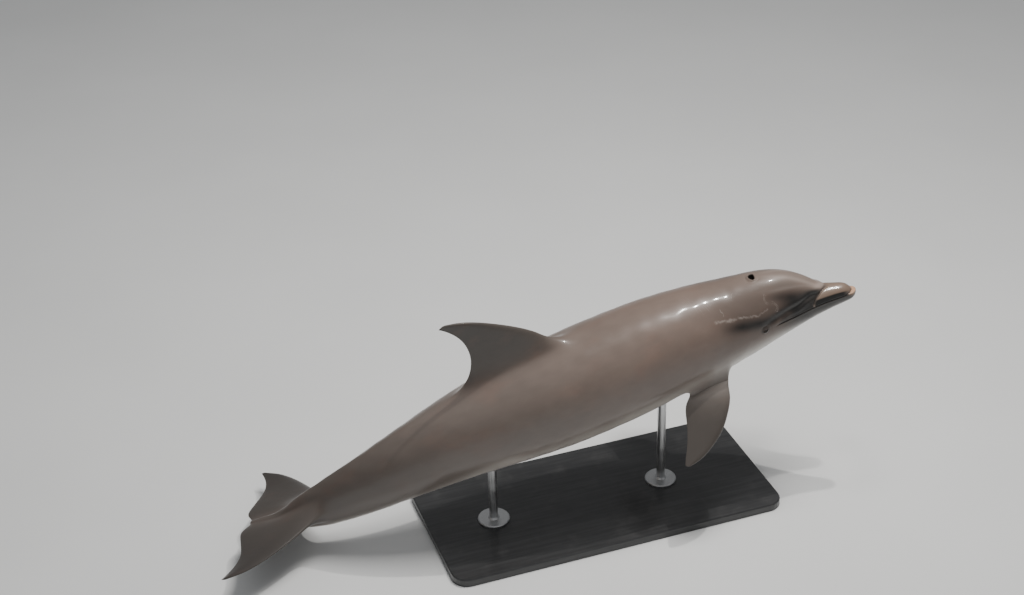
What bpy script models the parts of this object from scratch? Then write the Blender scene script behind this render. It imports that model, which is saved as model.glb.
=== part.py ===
"""A bottlenose dolphin, life size, swimming nose up over a plain two-rod display stand.

The animal is worked out straight first: x runs back from the tip of the beak, y to its left and z up. One
loft makes the whole body, each fin is a second loft that grows out of a window in the body's own grid, and a
bent spine then carries every point into the pose. Thin cuts divide the body into its named parts.
World frame: metres, +X the way it swims, +Z up, origin at the middle of the base's underside.
"""

import math

import bmesh
import bpy
import numpy as np
from mathutils import Matrix

# ---- The animal's driving sizes, in metres -----------------------------------------------------------
LENGTH = 2.42  # beak tip to fluke notch
BEAK = 0.100  # beak tip to the crease at the melon's foot
BEAK_TIP_ROUND = 0.024  # length of the beak's rounded end
MELON_STEEP = 0.042  # how fast the forehead climbs behind the crease
CREASE_SWEEP, CREASE_POINT = 0.050, 1.15  # how far back the crease runs on the sides, and how blunt its V is
TIP_REACH = 0.007  # how far the beak's tip reaches in front of the first ring's place
TAIL_END = 2.400  # the body's own loft closes here, just inside the notch
JAW_CORNER = 0.285  # beak tip to the corner of the mouth
CUT = 0.0004  # width of the thin cuts between parts
NECK, WAIST, LOIN = 0.45, 0.88, 1.60  # where the body is cut across, behind the beak tip
CUT_SHIFT = 0.0015  # the jaw's cut lies this far below the mouth's own row, the beak's this far behind the crease

# Height of the back's line, x then z; the melon's own climb from the crease is worked out in back_line()
BACK = ((0.10, 0.047), (0.20, 0.091), (0.28, 0.1125), (0.34, 0.121), (0.42, 0.129), (0.55, 0.150), (0.75, 0.179),
        (0.95, 0.190), (1.12, 0.192), (1.30, 0.184), (1.50, 0.167), (1.72, 0.140), (1.95, 0.110), (2.08, 0.090),
        (2.18, 0.069), (2.29, 0.036), (2.41, 0.006))
BEAK_TOP = ((0.00, -0.048), (0.03, -0.034), (0.065, -0.0225), (BEAK, -0.0125))
BELLY = ((0.00, -0.093), (0.03, -0.1015), (0.07, -0.1070), (0.13, -0.113), (0.20, -0.126), (0.30, -0.150),
         (0.42, -0.181), (0.60, -0.204), (0.80, -0.213), (1.00, -0.212), (1.20, -0.202), (1.45, -0.174),
         (1.70, -0.144), (1.95, -0.111), (2.08, -0.091), (2.18, -0.069), (2.29, -0.036), (2.41, -0.006))
HALF_WIDTH = ((0.00, 0.023), (0.03, 0.0300), (0.07, 0.0385), (0.12, 0.053), (0.16, 0.069), (0.22, 0.095),
              (0.28, 0.116), (0.34, 0.131), (0.45, 0.152), (0.60, 0.177), (0.80, 0.197), (1.00, 0.202),
              (1.20, 0.192), (1.45, 0.160), (1.70, 0.120), (1.95, 0.080), (2.08, 0.058), (2.18, 0.041),
              (2.29, 0.024), (2.41, 0.006))
WIDEST_LEVEL = ((0.00, -0.068), (0.05, -0.061), (0.12, -0.053), (0.20, -0.045), (0.32, -0.034), (0.50, -0.024),
                (0.85, -0.014), (1.30, -0.006), (1.80, 0.0), (2.41, 0.0))
KEEL = ((0.00, 0.80), (0.14, 0.90), (0.30, 1.0), (1.30, 1.0), (1.60, 1.10), (1.95, 1.30), (2.18, 1.25),
        (2.41, 1.0))
MOUTH_LEVEL = ((0.00, -0.070), (0.06, -0.0620), (0.12, -0.0540), (0.18, -0.0455), (0.235, -0.0385),
               (JAW_CORNER, -0.033), (0.34, -0.030))

# Angles round the body from the back's midline, in degrees, with the number of steps up to each
SEAMS = ((11, 1), (58, 3), (90, 3), (116, 2), (122, 1), (140, 3), (180, 2))
FIN_EDGE, FLUKE_HIGH, MOUTH_SEAM, FLIPPER_HIGH, FLUKE_LOW, FLIPPER_LOW, KEEL_SEAM = (a for a, _ in SEAMS)

# Places along the body where a fin's window begins or ends, with the number of rings up to each
RINGS = ((BEAK, 6), (0.36, 9), (0.53, 3), (0.73, 7), (1.02, 5), (1.51, 10), (2.08, 9), (2.388, 9), (TAIL_END, 1))
FLIPPER_WINDOW = (0.53, 0.73)
DORSAL_WINDOW = (1.02, 1.51)
FLUKE_WINDOW = (2.08, 2.388)

# ---- Fins: the leading and trailing edges from root to tip -------------------------------------------
# Dorsal fin, along the body and above the axis
DORSAL_LEAD = ((1.062, 0.199), (1.120, 0.244), (1.172, 0.294), (1.232, 0.345), (1.302, 0.395), (1.376, 0.440),
               (1.434, 0.462))
DORSAL_TRAIL = ((1.494, 0.172), (1.436, 0.219), (1.406, 0.273), (1.400, 0.331), (1.412, 0.386), (1.438, 0.432),
                (1.458, 0.455))
DORSAL_THICK = (0.050, 0.040, 0.033, 0.026, 0.020, 0.014, 0.009)
# Flipper, in its own plane: along its length from the middle of the root, and forward
FLIPPER_LEAD = ((-0.050, 0.050), (0.010, 0.078), (0.080, 0.087), (0.155, 0.084), (0.230, 0.064), (0.284, 0.038),
                (0.316, 0.012))
FLIPPER_TRAIL = ((0.052, -0.060), (0.092, -0.070), (0.134, -0.064), (0.185, -0.043), (0.246, -0.024),
                 (0.290, -0.016), (0.320, -0.009))
FLIPPER_THICK = (0.040, 0.032, 0.026, 0.021, 0.016, 0.012, 0.008)
FLIPPER_ROOT = (0.625, 0.152, -0.146)  # middle of the left root: along, left, up
FLIPPER_BACK, FLIPPER_DOWN = 43.0, 46.0  # sweep behind square to the body, and droop below level, degrees
# Left fluke, along the body and out from its middle
FLUKE_LEAD = ((2.098, 0.062), (2.140, 0.100), (2.180, 0.150), (2.228, 0.210), (2.284, 0.271), (2.347, 0.322),
              (2.404, 0.345))
FLUKE_TRAIL = ((2.386, 0.011), (2.418, 0.050), (2.412, 0.105), (2.396, 0.165), (2.387, 0.225), (2.399, 0.290),
               (2.426, 0.349))
FLUKE_THICK = (0.052, 0.036, 0.029, 0.023, 0.017, 0.012, 0.008)

FIN_ROWS = 12  # sections from root to tip
FILLET_ROWS = 4  # of which this many belong to the fillet at the root
NOSE_ANGLE, HEEL_ANGLE = 38.0, 30.0  # how far round a fin's section its front and rear edges take, in degrees

# ---- The pose: a bent spine --------------------------------------------------------------------------
# Each bend: degrees added, and the stretch of the body (distance behind the beak tip) over which it comes in
NOSE_UP = 15.0
PITCH_BENDS = ((4.0, 0.70, 0.14), (12.5, 1.30, 1.90), (-16.0, 2.02, 2.38))
YAW_BENDS = ((-21.0, 0.70, 0.14), (-22.5, 1.30, 2.30))
ROLL_BENDS = ((5.0, 0.70, 0.25), (-5.0, 1.5, 2.3))
ANCHOR_ALONG = 1.00  # this point of the axis stands over the origin
ANCHOR_HEIGHT = 0.580

# ---- Eyes, blowhole and stand ------------------------------------------------------------------------
EYE_ALONG, EYE_LEVEL, EYE_RADIUS, EYE_SUNK = 0.345, -0.027, 0.0165, 0.0125
BLOWHOLE_ALONG, BLOWHOLE_WIDE, BLOWHOLE_LONG, BLOWHOLE_DEEP = 0.322, 0.040, 0.018, 0.022
BASE_LONG, BASE_WIDE, BASE_THICK, BASE_CORNER = 1.30, 0.60, 0.030, 0.060
ROD_RADIUS, FLANGE_RADIUS, FLANGE_THICK, ROD_IN_BODY = 0.016, 0.060, 0.010, 0.050
ROD_ALONG = {"front": 0.72, "rear": 1.42}


# ---- Curves and sections -----------------------------------------------------------------------------
def smooth_curve(points):
    """The natural cubic spline through the points, as a function of their first coordinate."""
    x, y = np.array(points, float).T
    step = np.diff(x)
    count = len(x)
    system, right = np.eye(count), np.zeros(count)
    for i in range(1, count - 1):
        system[i, i - 1 : i + 2] = step[i - 1], 2 * (step[i - 1] + step[i]), step[i]
        right[i] = 6 * ((y[i + 1] - y[i]) / step[i] - (y[i] - y[i - 1]) / step[i - 1])
    bend = np.linalg.solve(system, right)

    def value(at):
        at = np.clip(np.asarray(at, float), x[0], x[-1])
        i = np.clip(np.searchsorted(x, at) - 1, 0, count - 2)
        a, b = (x[i + 1] - at) / step[i], (at - x[i]) / step[i]
        curve = ((a**3 - a) * bend[i] + (b**3 - b) * bend[i + 1]) * step[i] ** 2 / 6
        return a * y[i] + b * y[i + 1] + curve

    return value


def smooth_path(points):
    """The spline path through the points, from 0 at the first to 1 at the last, one row a point."""
    share = np.linspace(0, 1, len(points))
    axes = [smooth_curve(list(zip(share, axis))) for axis in zip(*points)]
    return lambda at: np.stack([axis(at) for axis in axes], axis=-1)


def eased(at, begin, end):
    """0 before begin, 1 after end, smooth between them. End may lie before begin."""
    t = np.clip((np.asarray(at, float) - begin) / (end - begin), 0, 1)
    return t * t * (3 - 2 * t)


BACK_AT, BEAK_TOP_AT, BELLY_AT = smooth_curve(BACK), smooth_curve(BEAK_TOP), smooth_curve(BELLY)
HALF_WIDTH_AT, LEVEL_AT = smooth_curve(HALF_WIDTH), smooth_curve(WIDEST_LEVEL)
KEEL_AT, MOUTH_AT = smooth_curve(KEEL), smooth_curve(MOUTH_LEVEL)


def back_line(x):
    """Height of the back: the beak's own top, then a forehead that climbs from the crease to the back's line."""
    crease = float(BEAK_TOP_AT(BEAK))
    climb = 1 - np.exp(-np.maximum(x - BEAK, 0) / MELON_STEEP)
    return np.where(x < BEAK, BEAK_TOP_AT(x), crease + (BACK_AT(x) - crease) * climb)


def skin_point(ring, angle):
    """A point of the straight body's surface, for a ring's place and an angle round it, 0 degrees on the back.

    Each ring is two half ellipses that meet at the widest level, drawn in towards a keel on the tail stock. On
    the head the ring's sides sweep back, so that one ring runs along the crease, and the seam at 90 degrees
    follows the mouth.
    """
    ring, angle = np.broadcast_arrays(np.asarray(ring, float), np.asarray(angle, float))
    sweep = CREASE_SWEEP * eased(ring, 0.0, BEAK) * (1 - eased(ring, BEAK, 0.44))
    side = ring + sweep
    level = LEVEL_AT(side)
    tip = np.clip(1 - ring / BEAK_TIP_ROUND, 0, 1)
    blunt = np.sqrt(1 - tip**2)
    up, down = (back_line(ring) - level) * blunt, (level - BELLY_AT(ring)) * blunt
    half = HALF_WIDTH_AT(side) * blunt

    drop = (MOUTH_AT(side) - level) / np.where(MOUTH_AT(side) < level, down, up).clip(1e-4)
    mouth = np.degrees(np.arccos(np.clip(drop, -0.5, 0.5)))
    shift = (mouth - MOUTH_SEAM) * (1 - eased(ring, JAW_CORNER, 0.46)) * eased(ring, 0.0, 0.02)
    turn = np.abs(angle)
    near = np.where(turn < MOUTH_SEAM, turn / MOUTH_SEAM, (KEEL_SEAM - turn) / (KEEL_SEAM - MOUTH_SEAM))
    turn = np.radians(turn + shift * near**2)

    sine, cosine = np.sin(turn).clip(0), np.cos(turn)
    across = half * sine ** KEEL_AT(ring) * np.sign(angle)
    height = level + np.where(cosine > 0, up, down) * cosine
    along = ring + sweep * sine**CREASE_POINT - TIP_REACH * (1 - eased(ring, 0.0, BEAK))
    return np.stack([along, across, height], axis=-1)


def skin_normal(ring, angle):
    """The unit normal of the straight body's surface there, pointing out."""
    step, turn = 0.002, 1.0
    along = skin_point(ring + step, angle) - skin_point(ring - step, angle)
    around = skin_point(ring, angle + turn) - skin_point(ring, angle - turn)
    normal = np.cross(along, around)
    return normal / np.linalg.norm(normal, axis=-1, keepdims=True)


# ---- The pose ----------------------------------------------------------------------------------------
def bent(at, bends, start=0.0):
    """The angle in radians at a distance behind the beak tip, with every bend added."""
    return np.radians(start + sum(degrees * eased(at, begin, end) for degrees, begin, end in bends))


def frame_at(along):
    """Rows forward, left and up of the spine there, in world axes."""
    pitch, yaw, roll = bent(along, PITCH_BENDS, NOSE_UP), bent(along, YAW_BENDS), bent(along, ROLL_BENDS)
    zero = np.zeros_like(pitch)
    forward = np.stack([np.cos(pitch) * np.cos(yaw), np.cos(pitch) * np.sin(yaw), np.sin(pitch)], axis=-1)
    left = np.stack([-np.sin(yaw), np.cos(yaw), zero], axis=-1)
    up = np.cross(forward, left)
    cosine, sine = np.cos(roll)[..., None], np.sin(roll)[..., None]
    return forward, left * cosine + up * sine, up * cosine - left * sine


SPINE_ALONG = np.linspace(-0.3, LENGTH + 0.3, 1101)
SPINE_STEPS = np.diff(SPINE_ALONG)[:, None] * frame_at((SPINE_ALONG[1:] + SPINE_ALONG[:-1]) / 2)[0]
SPINE = np.vstack([np.zeros(3), -np.cumsum(SPINE_STEPS, axis=0)])
SPINE -= [np.interp(ANCHOR_ALONG, SPINE_ALONG, SPINE[:, axis]) for axis in range(3)]
SPINE[:, 2] += ANCHOR_HEIGHT


def posed(points):
    """Carries points of the straight animal into the pose, in world coordinates."""
    points = np.asarray(points, float)
    along = points[..., 0]
    centre = np.stack([np.interp(along, SPINE_ALONG, SPINE[:, axis]) for axis in range(3)], axis=-1)
    _, left, up = frame_at(along)
    return centre + left * points[..., 1:2] + up * points[..., 2:3]


# ---- Meshes ------------------------------------------------------------------------------------------
def grid_faces(index):
    """Triangles over a grid of point numbers."""
    a, b, c, d = index[:-1, :-1], index[1:, :-1], index[1:, 1:], index[:-1, 1:]
    return np.concatenate([np.stack([a, b, c], -1).reshape(-1, 3), np.stack([a, c, d], -1).reshape(-1, 3)])


def fan_faces(loop, pole):
    """Triangles from a closed loop of point numbers to one pole."""
    return np.stack([loop, np.roll(loop, -1), np.full_like(loop, pole)], axis=-1)


def facing_out(points, faces):
    """The faces, turned round if the closed surface is inside out."""
    corners = points[faces]
    volume = np.einsum("ij,ij->i", corners[:, 0], np.cross(corners[:, 1], corners[:, 2])).sum()
    return faces if volume > 0 else faces[:, ::-1]


def mesh_of(name, points, faces):
    mesh = bpy.data.meshes.new(name)
    mesh.from_pydata(points.tolist(), [], facing_out(points, faces).tolist())
    mesh.shade_smooth()
    return mesh


def ring_places():
    """Where the rings stand along the body: close together at the beak's tip, then even within each stretch."""
    places, begin = [], 0.0
    for end, steps in RINGS:
        share = np.arange(1, steps + 1) / steps
        places.extend(begin + (end - begin) * (share**1.8 if begin == 0.0 else share))
        begin = end
    return np.array(places)


def seam_angles():
    """Angles of the columns, from the belly's midline up the right side, over the back and down the left."""
    half, begin = [0.0], 0.0
    for end, steps in SEAMS:
        half.extend(begin + (end - begin) * np.arange(1, steps + 1) / steps)
        begin = end
    return np.concatenate([-np.array(half[::-1]), half[1:-1]])


PLACES, ANGLES = ring_places(), seam_angles()


def body_mesh():
    """The whole body without its fins: a loft of rings, closed by a pole at each end."""
    rings, columns = len(PLACES), len(ANGLES)
    points = skin_point(PLACES[:, None], ANGLES[None, :])
    poles = [skin_point(0.0, 0.0), (TAIL_END + 0.004, 0.0, 0.0)]
    points = np.vstack([points.reshape(-1, 3), poles])
    index = np.arange(rings * columns).reshape(rings, columns)
    wrapped = np.hstack([index, index[:, :1]])
    front, rear = rings * columns, rings * columns + 1
    faces = np.vstack([grid_faces(wrapped), fan_faces(index[0], front), fan_faces(index[-1], rear)[:, ::-1]])
    return mesh_of("body", posed(points), faces)


def nearest(values, wanted):
    return int(np.argmin(np.abs(values - wanted)))


def fin_section(steps_long, steps_wide):
    """The fin's section as a loop of (share of the chord, share of the thickness), from the front of one side.

    It is a teardrop: a sine that is fuller in front. The loop's steps match those of the window it grows from.
    """
    front, heel = math.radians(NOSE_ANGLE), math.radians(HEEL_ANGLE)
    share = np.linspace((1 - math.cos(front)) / 2, (1 + math.cos(heel)) / 2, steps_long + 1)
    side = np.arccos(1 - 2 * share)
    rear = np.linspace(math.pi - heel, math.pi + heel, steps_wide + 1)[1:-1]
    nose = np.linspace(-front, front, steps_wide + 1)[1:-1]
    turn = np.concatenate([side, rear, 2 * math.pi - side[::-1], nose])
    return (1 - np.cos(turn)) / 2, np.sin(turn) * (1 + 0.6 * np.cos(turn)) / 1.13


def fin_rows(fillet_share):
    """For each section: its share of the way to the tip, and how much of the window's shape it still has.

    The fillet is a quarter of an ellipse that leaves the body along its skin and ends along the fin.
    """
    turn = np.linspace(0, math.pi / 2, FILLET_ROWS + 1)
    rest = 1 - (1 - np.arange(1, FIN_ROWS - FILLET_ROWS) / (FIN_ROWS - FILLET_ROWS - 1)) ** 1.5
    share = np.concatenate([(1 - np.cos(turn)) * fillet_share, fillet_share + (1 - fillet_share) * rest])
    kept = np.concatenate([1 - np.sin(turn), np.zeros(len(rest))])
    return share, kept


def fin_mesh(name, window, angles, lead, trail, thick, normal, fillet_share, side=1):
    """A fin lofted from the body's grid between two rings and two columns, closed at its root by that grid.

    lead and trail give the front and rear edges in the straight animal, normal the way its first side faces, all
    for the left or middle; side -1 makes its twin on the right.
    """
    flip = np.array((1, side, 1))
    begin, end = sorted(side * angle for angle in angles)
    rows = slice(nearest(PLACES, window[0]), nearest(PLACES, window[1]) + 1)
    columns = slice(nearest(ANGLES, begin), nearest(ANGLES, end) + 1)
    ring, angle = np.meshgrid(PLACES[rows], ANGLES[columns], indexing="ij")
    root = skin_point(ring, angle) + CUT * skin_normal(ring, angle)
    long, wide = root.shape[0] - 1, root.shape[1] - 1
    loop = np.array([(i, 0) for i in range(long)] + [(long, j) for j in range(wide)]
                    + [(i, wide) for i in range(long, 0, -1)] + [(0, j) for j in range(wide, 0, -1)])
    chord, depth = fin_section(long, wide)
    share, kept = fin_rows(fillet_share)
    front, back = flip * lead(share)[:, None, :], flip * trail(share)[:, None, :]
    thickness = smooth_curve(list(zip(np.linspace(0, 1, len(thick)), thick)))(share)[:, None, None]
    sections = front + (back - front) * chord[None, :, None]
    sections = sections + side * flip * normal * thickness * depth[None, :, None] / 2
    sections = sections + (root[loop[:, 0], loop[:, 1]] - sections[0]) * kept[:, None, None]

    around, count = len(loop), len(share)
    inner = root[1:-1, 1:-1].reshape(-1, 3)
    last, before = sections[-1].mean(axis=0), sections[-2].mean(axis=0)
    points = np.vstack([sections.reshape(-1, 3), inner, last + 0.3 * (last - before)])
    index = np.arange(count * around).reshape(count, around)
    cap = np.zeros(root.shape[:2], int)
    cap[loop[:, 0], loop[:, 1]] = index[0]
    cap[1:-1, 1:-1] = count * around + np.arange(len(inner)).reshape(long - 1, wide - 1)
    tube = grid_faces(np.hstack([index, index[:, :1]]))
    faces = np.vstack([tube, fan_faces(index[-1], len(points) - 1)[:, ::-1], grid_faces(cap)])
    return mesh_of(name, posed(points), faces)


def in_plane(points, origin, along, across):
    """Points given in a plane, as points of the straight animal."""
    return [tuple(np.array(origin) + u * np.array(along) + v * np.array(across)) for u, v in points]


def dorsal_fin():
    lead = smooth_path([(x, 0, z) for x, z in DORSAL_LEAD])
    trail = smooth_path([(x, 0, z) for x, z in DORSAL_TRAIL])
    return fin_mesh("dorsal_fin", DORSAL_WINDOW, (-FIN_EDGE, FIN_EDGE), lead, trail, DORSAL_THICK,
                    np.array((0, -1, 0)), 0.22)


def flipper(name, side):
    back, down = math.radians(FLIPPER_BACK), math.radians(FLIPPER_DOWN)
    out = np.array((0, math.cos(down), -math.sin(down)))
    span = np.array((math.sin(back), 0, 0)) + math.cos(back) * out
    forward = np.array((-math.cos(back), 0, 0)) + math.sin(back) * out
    lead = smooth_path(in_plane(FLIPPER_LEAD, FLIPPER_ROOT, span, forward))
    trail = smooth_path(in_plane(FLIPPER_TRAIL, FLIPPER_ROOT, span, forward))
    return fin_mesh(name, FLIPPER_WINDOW, (FLIPPER_HIGH, FLIPPER_LOW), lead, trail, FLIPPER_THICK,
                    np.cross(forward, span), 0.16, side)


def fluke(name, side):
    lead = smooth_path([(x, y, 0) for x, y in FLUKE_LEAD])
    trail = smooth_path([(x, y, 0) for x, y in FLUKE_TRAIL])
    return fin_mesh(name, FLUKE_WINDOW, (FLUKE_HIGH, FLUKE_LOW), lead, trail, FLUKE_THICK,
                    np.array((0, 0, 1)), 0.16, side)


# ---- Parting the body --------------------------------------------------------------------------------
def part_mesh(name, source, planes):
    """The piece of a closed mesh in front of every plane, each a point and a normal, with the cuts closed."""
    piece = bmesh.new()
    piece.from_mesh(source)
    for point, normal in planes:
        everything = piece.verts[:] + piece.edges[:] + piece.faces[:]
        bmesh.ops.bisect_plane(piece, geom=everything, dist=1e-7, plane_co=point, plane_no=normal,
                               clear_inner=True)
        bmesh.ops.holes_fill(piece, edges=[edge for edge in piece.edges if edge.is_boundary], sides=0)
    bmesh.ops.triangulate(piece, faces=piece.faces[:])
    mesh = bpy.data.meshes.new(name)
    piece.to_mesh(mesh)
    piece.free()
    return mesh


def combined(name, mesh, tool, operation):
    """The mesh after an exact Boolean with the tool mesh."""
    target, cutter = bpy.data.objects.new("target", mesh), bpy.data.objects.new("cutter", tool)
    for helper in (target, cutter):
        bpy.context.scene.collection.objects.link(helper)
    boolean = target.modifiers.new("boolean", "BOOLEAN")
    boolean.operation, boolean.solver, boolean.object = operation, "EXACT", cutter
    bpy.context.view_layer.update()
    result = bpy.data.meshes.new_from_object(target.evaluated_get(bpy.context.evaluated_depsgraph_get()))
    result.name = name
    tidy = bmesh.new()
    tidy.from_mesh(result)
    bmesh.ops.remove_doubles(tidy, verts=tidy.verts[:], dist=0.0001)
    bmesh.ops.dissolve_degenerate(tidy, edges=tidy.edges[:], dist=0.00005)
    bmesh.ops.triangulate(tidy, faces=tidy.faces[:])
    tidy.to_mesh(result)
    tidy.free()
    for helper in (target, cutter):
        bpy.data.objects.remove(helper)
    return result


def cross_cut(along, offset=0.0):
    """The plane square to the spine there, as a point and the forward direction."""
    forward = frame_at(along)[0]
    return posed((along, 0.0, 0.0)) + offset * forward, forward


def crease_cut(offset=0.0):
    """The slanted plane from the crease at the melon's foot down to the line of the mouth."""
    slope = math.atan2(float(BEAK_TOP_AT(BEAK)) - float(MOUTH_AT(BEAK + CREASE_SWEEP)), CREASE_SWEEP)
    _, _, up = frame_at(BEAK)
    forward = frame_at(BEAK)[0] * math.sin(slope) - up * math.cos(slope)
    return posed((BEAK + CUT_SHIFT, 0.0, float(BEAK_TOP_AT(BEAK)))) + offset * forward, forward


def prism(name, outline, reach):
    """A closed outline in the straight animal, extruded by reach and carried into the pose."""
    solid = bmesh.new()
    face = solid.faces.new([solid.verts.new(point) for point in outline])
    swept = bmesh.ops.extrude_face_region(solid, geom=[face])["geom"]
    far_end = [item for item in swept if isinstance(item, bmesh.types.BMVert)]
    bmesh.ops.translate(solid, verts=far_end, vec=reach)
    for vertex in solid.verts:
        vertex.co = posed(vertex.co)
    bmesh.ops.recalc_face_normals(solid, faces=solid.faces[:])
    bmesh.ops.triangulate(solid, faces=solid.faces[:])
    mesh = bpy.data.meshes.new(name)
    solid.to_mesh(mesh)
    solid.free()
    return mesh


def jaw_slab(name, grow):
    """Everything below the line of the mouth and in front of its corner."""
    reach = JAW_CORNER + grow
    line = [(x, float(MOUTH_AT(x)) - CUT_SHIFT + grow) for x in np.linspace(0.0, JAW_CORNER, 12)]
    line = [(-0.05, line[0][1])] + line[:-1] + [(reach, line[-1][1]), (reach + 0.012, -0.30), (-0.05, -0.30)]
    return prism(name, [(x, -0.25, z) for x, z in line], (0, 0.5, 0))


def ball(name, centre, radius):
    sphere = bmesh.new()
    bmesh.ops.create_uvsphere(sphere, u_segments=14, v_segments=8, radius=radius,
                              matrix=Matrix.Translation(centre))
    mesh = bpy.data.meshes.new(name)
    sphere.to_mesh(mesh)
    sphere.free()
    return mesh


# ---- Eyes, blowhole and stand ------------------------------------------------------------------------
def eye_centre(side):
    """The middle of the eyeball, sunk below the skin."""
    angle = 90.0
    for _ in range(20):
        angle += math.degrees((skin_point(EYE_ALONG, angle)[2] - EYE_LEVEL) / 0.13)
    centre = skin_point(EYE_ALONG, angle) - EYE_SUNK * skin_normal(EYE_ALONG, angle)
    return posed(centre * (1, side, 1))


def blowhole_cutter():
    """A crescent with its horns forwards, sunk into the top of the head."""
    share = np.linspace(-1, 1, 9)
    curve = BLOWHOLE_LONG * (1 - share**2)
    front = [(BLOWHOLE_ALONG + 0.55 * c, BLOWHOLE_WIDE / 2 * s) for c, s in zip(curve, share)]
    rear = [(BLOWHOLE_ALONG + c + 0.001, BLOWHOLE_WIDE / 2 * s) for c, s in zip(curve, share)]
    top = float(back_line(np.array(BLOWHOLE_ALONG)))
    outline = [(x, y, top - BLOWHOLE_DEEP) for x, y in front + rear[::-1]]
    return prism("blowhole", outline, (0, 0, BLOWHOLE_DEEP + 0.02))


def rod_foot(along):
    """Where a rod stands, and the height of its top inside the body."""
    x, y, _ = posed((along, 0.0, 0.0))
    belly = posed((along, 0.0, float(BELLY_AT(along))))[2]
    return x, y, belly + ROD_IN_BODY


def rod_bore(along):
    """The bore in the body that the rod's end stands in."""
    x, y, top = rod_foot(along)
    length = ROD_IN_BODY + 0.15
    cylinder = bmesh.new()
    bmesh.ops.create_cone(cylinder, cap_ends=True, segments=24, radius1=ROD_RADIUS + CUT,
                          radius2=ROD_RADIUS + CUT, depth=length,
                          matrix=Matrix.Translation((x, y, top + CUT - length / 2)))
    mesh = bpy.data.meshes.new("bore")
    cylinder.to_mesh(mesh)
    cylinder.free()
    return mesh


def rod(name, along):
    """A turned rod with a flange at its foot, as a profile with a Screw modifier."""
    x, y, top = rod_foot(along)
    foot, deck = BASE_THICK + CUT / 2, BASE_THICK + FLANGE_THICK
    profile = [(0, top), (ROD_RADIUS, top), (ROD_RADIUS, deck + 0.006), (ROD_RADIUS + 0.006, deck),
               (FLANGE_RADIUS - 0.003, deck), (FLANGE_RADIUS, deck - 0.003), (FLANGE_RADIUS, foot), (0, foot)]
    mesh = bpy.data.meshes.new(name)
    mesh.from_pydata([(radius, 0, height) for radius, height in profile],
                     [(i, i + 1) for i in range(len(profile) - 1)], [])
    turned = bpy.data.objects.new(name, mesh)
    turned.location = (x, y, 0)
    screw = turned.modifiers.new("turn", "SCREW")
    screw.steps = screw.render_steps = 20
    screw.use_merge_vertices = True
    screw.merge_threshold = 0.00005
    return turned


def stand_base():
    """A flat plate with rounded corners and an eased top edge."""
    plate = bmesh.new()
    bmesh.ops.create_cube(plate, size=1.0, matrix=Matrix.Translation((0, 0, 0.5)))
    bmesh.ops.scale(plate, verts=plate.verts[:], vec=(BASE_LONG, BASE_WIDE, BASE_THICK))
    upright = [edge for edge in plate.edges if abs(edge.verts[0].co.z - edge.verts[1].co.z) > BASE_THICK / 2]
    bmesh.ops.bevel(plate, geom=upright, offset=BASE_CORNER, segments=6, profile=0.5, affect="EDGES")
    rim = [edge for edge in plate.edges if min(vertex.co.z for vertex in edge.verts) > BASE_THICK * 0.9]
    bmesh.ops.bevel(plate, geom=rim, offset=0.004, segments=1, profile=0.5, affect="EDGES")
    mesh = bpy.data.meshes.new("stand_base")
    plate.to_mesh(mesh)
    plate.free()
    return mesh


# ---- The whole part ----------------------------------------------------------------------------------
MATERIALS = {"skin": ((0.20, 0.18, 0.165), 0.32), "eye": ((0.012, 0.009, 0.008), 0.06),
             "plate": ((0.035, 0.036, 0.038), 0.45), "rod": ((0.55, 0.56, 0.57), 0.30)}


def add_piece(collection, shape, name, kind):
    """Puts a mesh, or an object that already holds one, in the collection with a material of its own."""
    piece = shape if isinstance(shape, bpy.types.Object) else bpy.data.objects.new(name, shape)
    colour, roughness = MATERIALS[kind]
    material = bpy.data.materials.new(name)
    material.use_nodes = True
    surface = material.node_tree.nodes["Principled BSDF"]
    surface.inputs["Base Color"].default_value = (*colour, 1)
    surface.inputs["Roughness"].default_value = roughness
    surface.inputs["Metallic"].default_value = 1.0 if kind == "rod" else 0.0
    material.diffuse_color = (*colour, 1)
    piece.data.name = name
    piece.data.materials.clear()
    piece.data.materials.append(material)
    collection.objects.link(piece)


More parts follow.
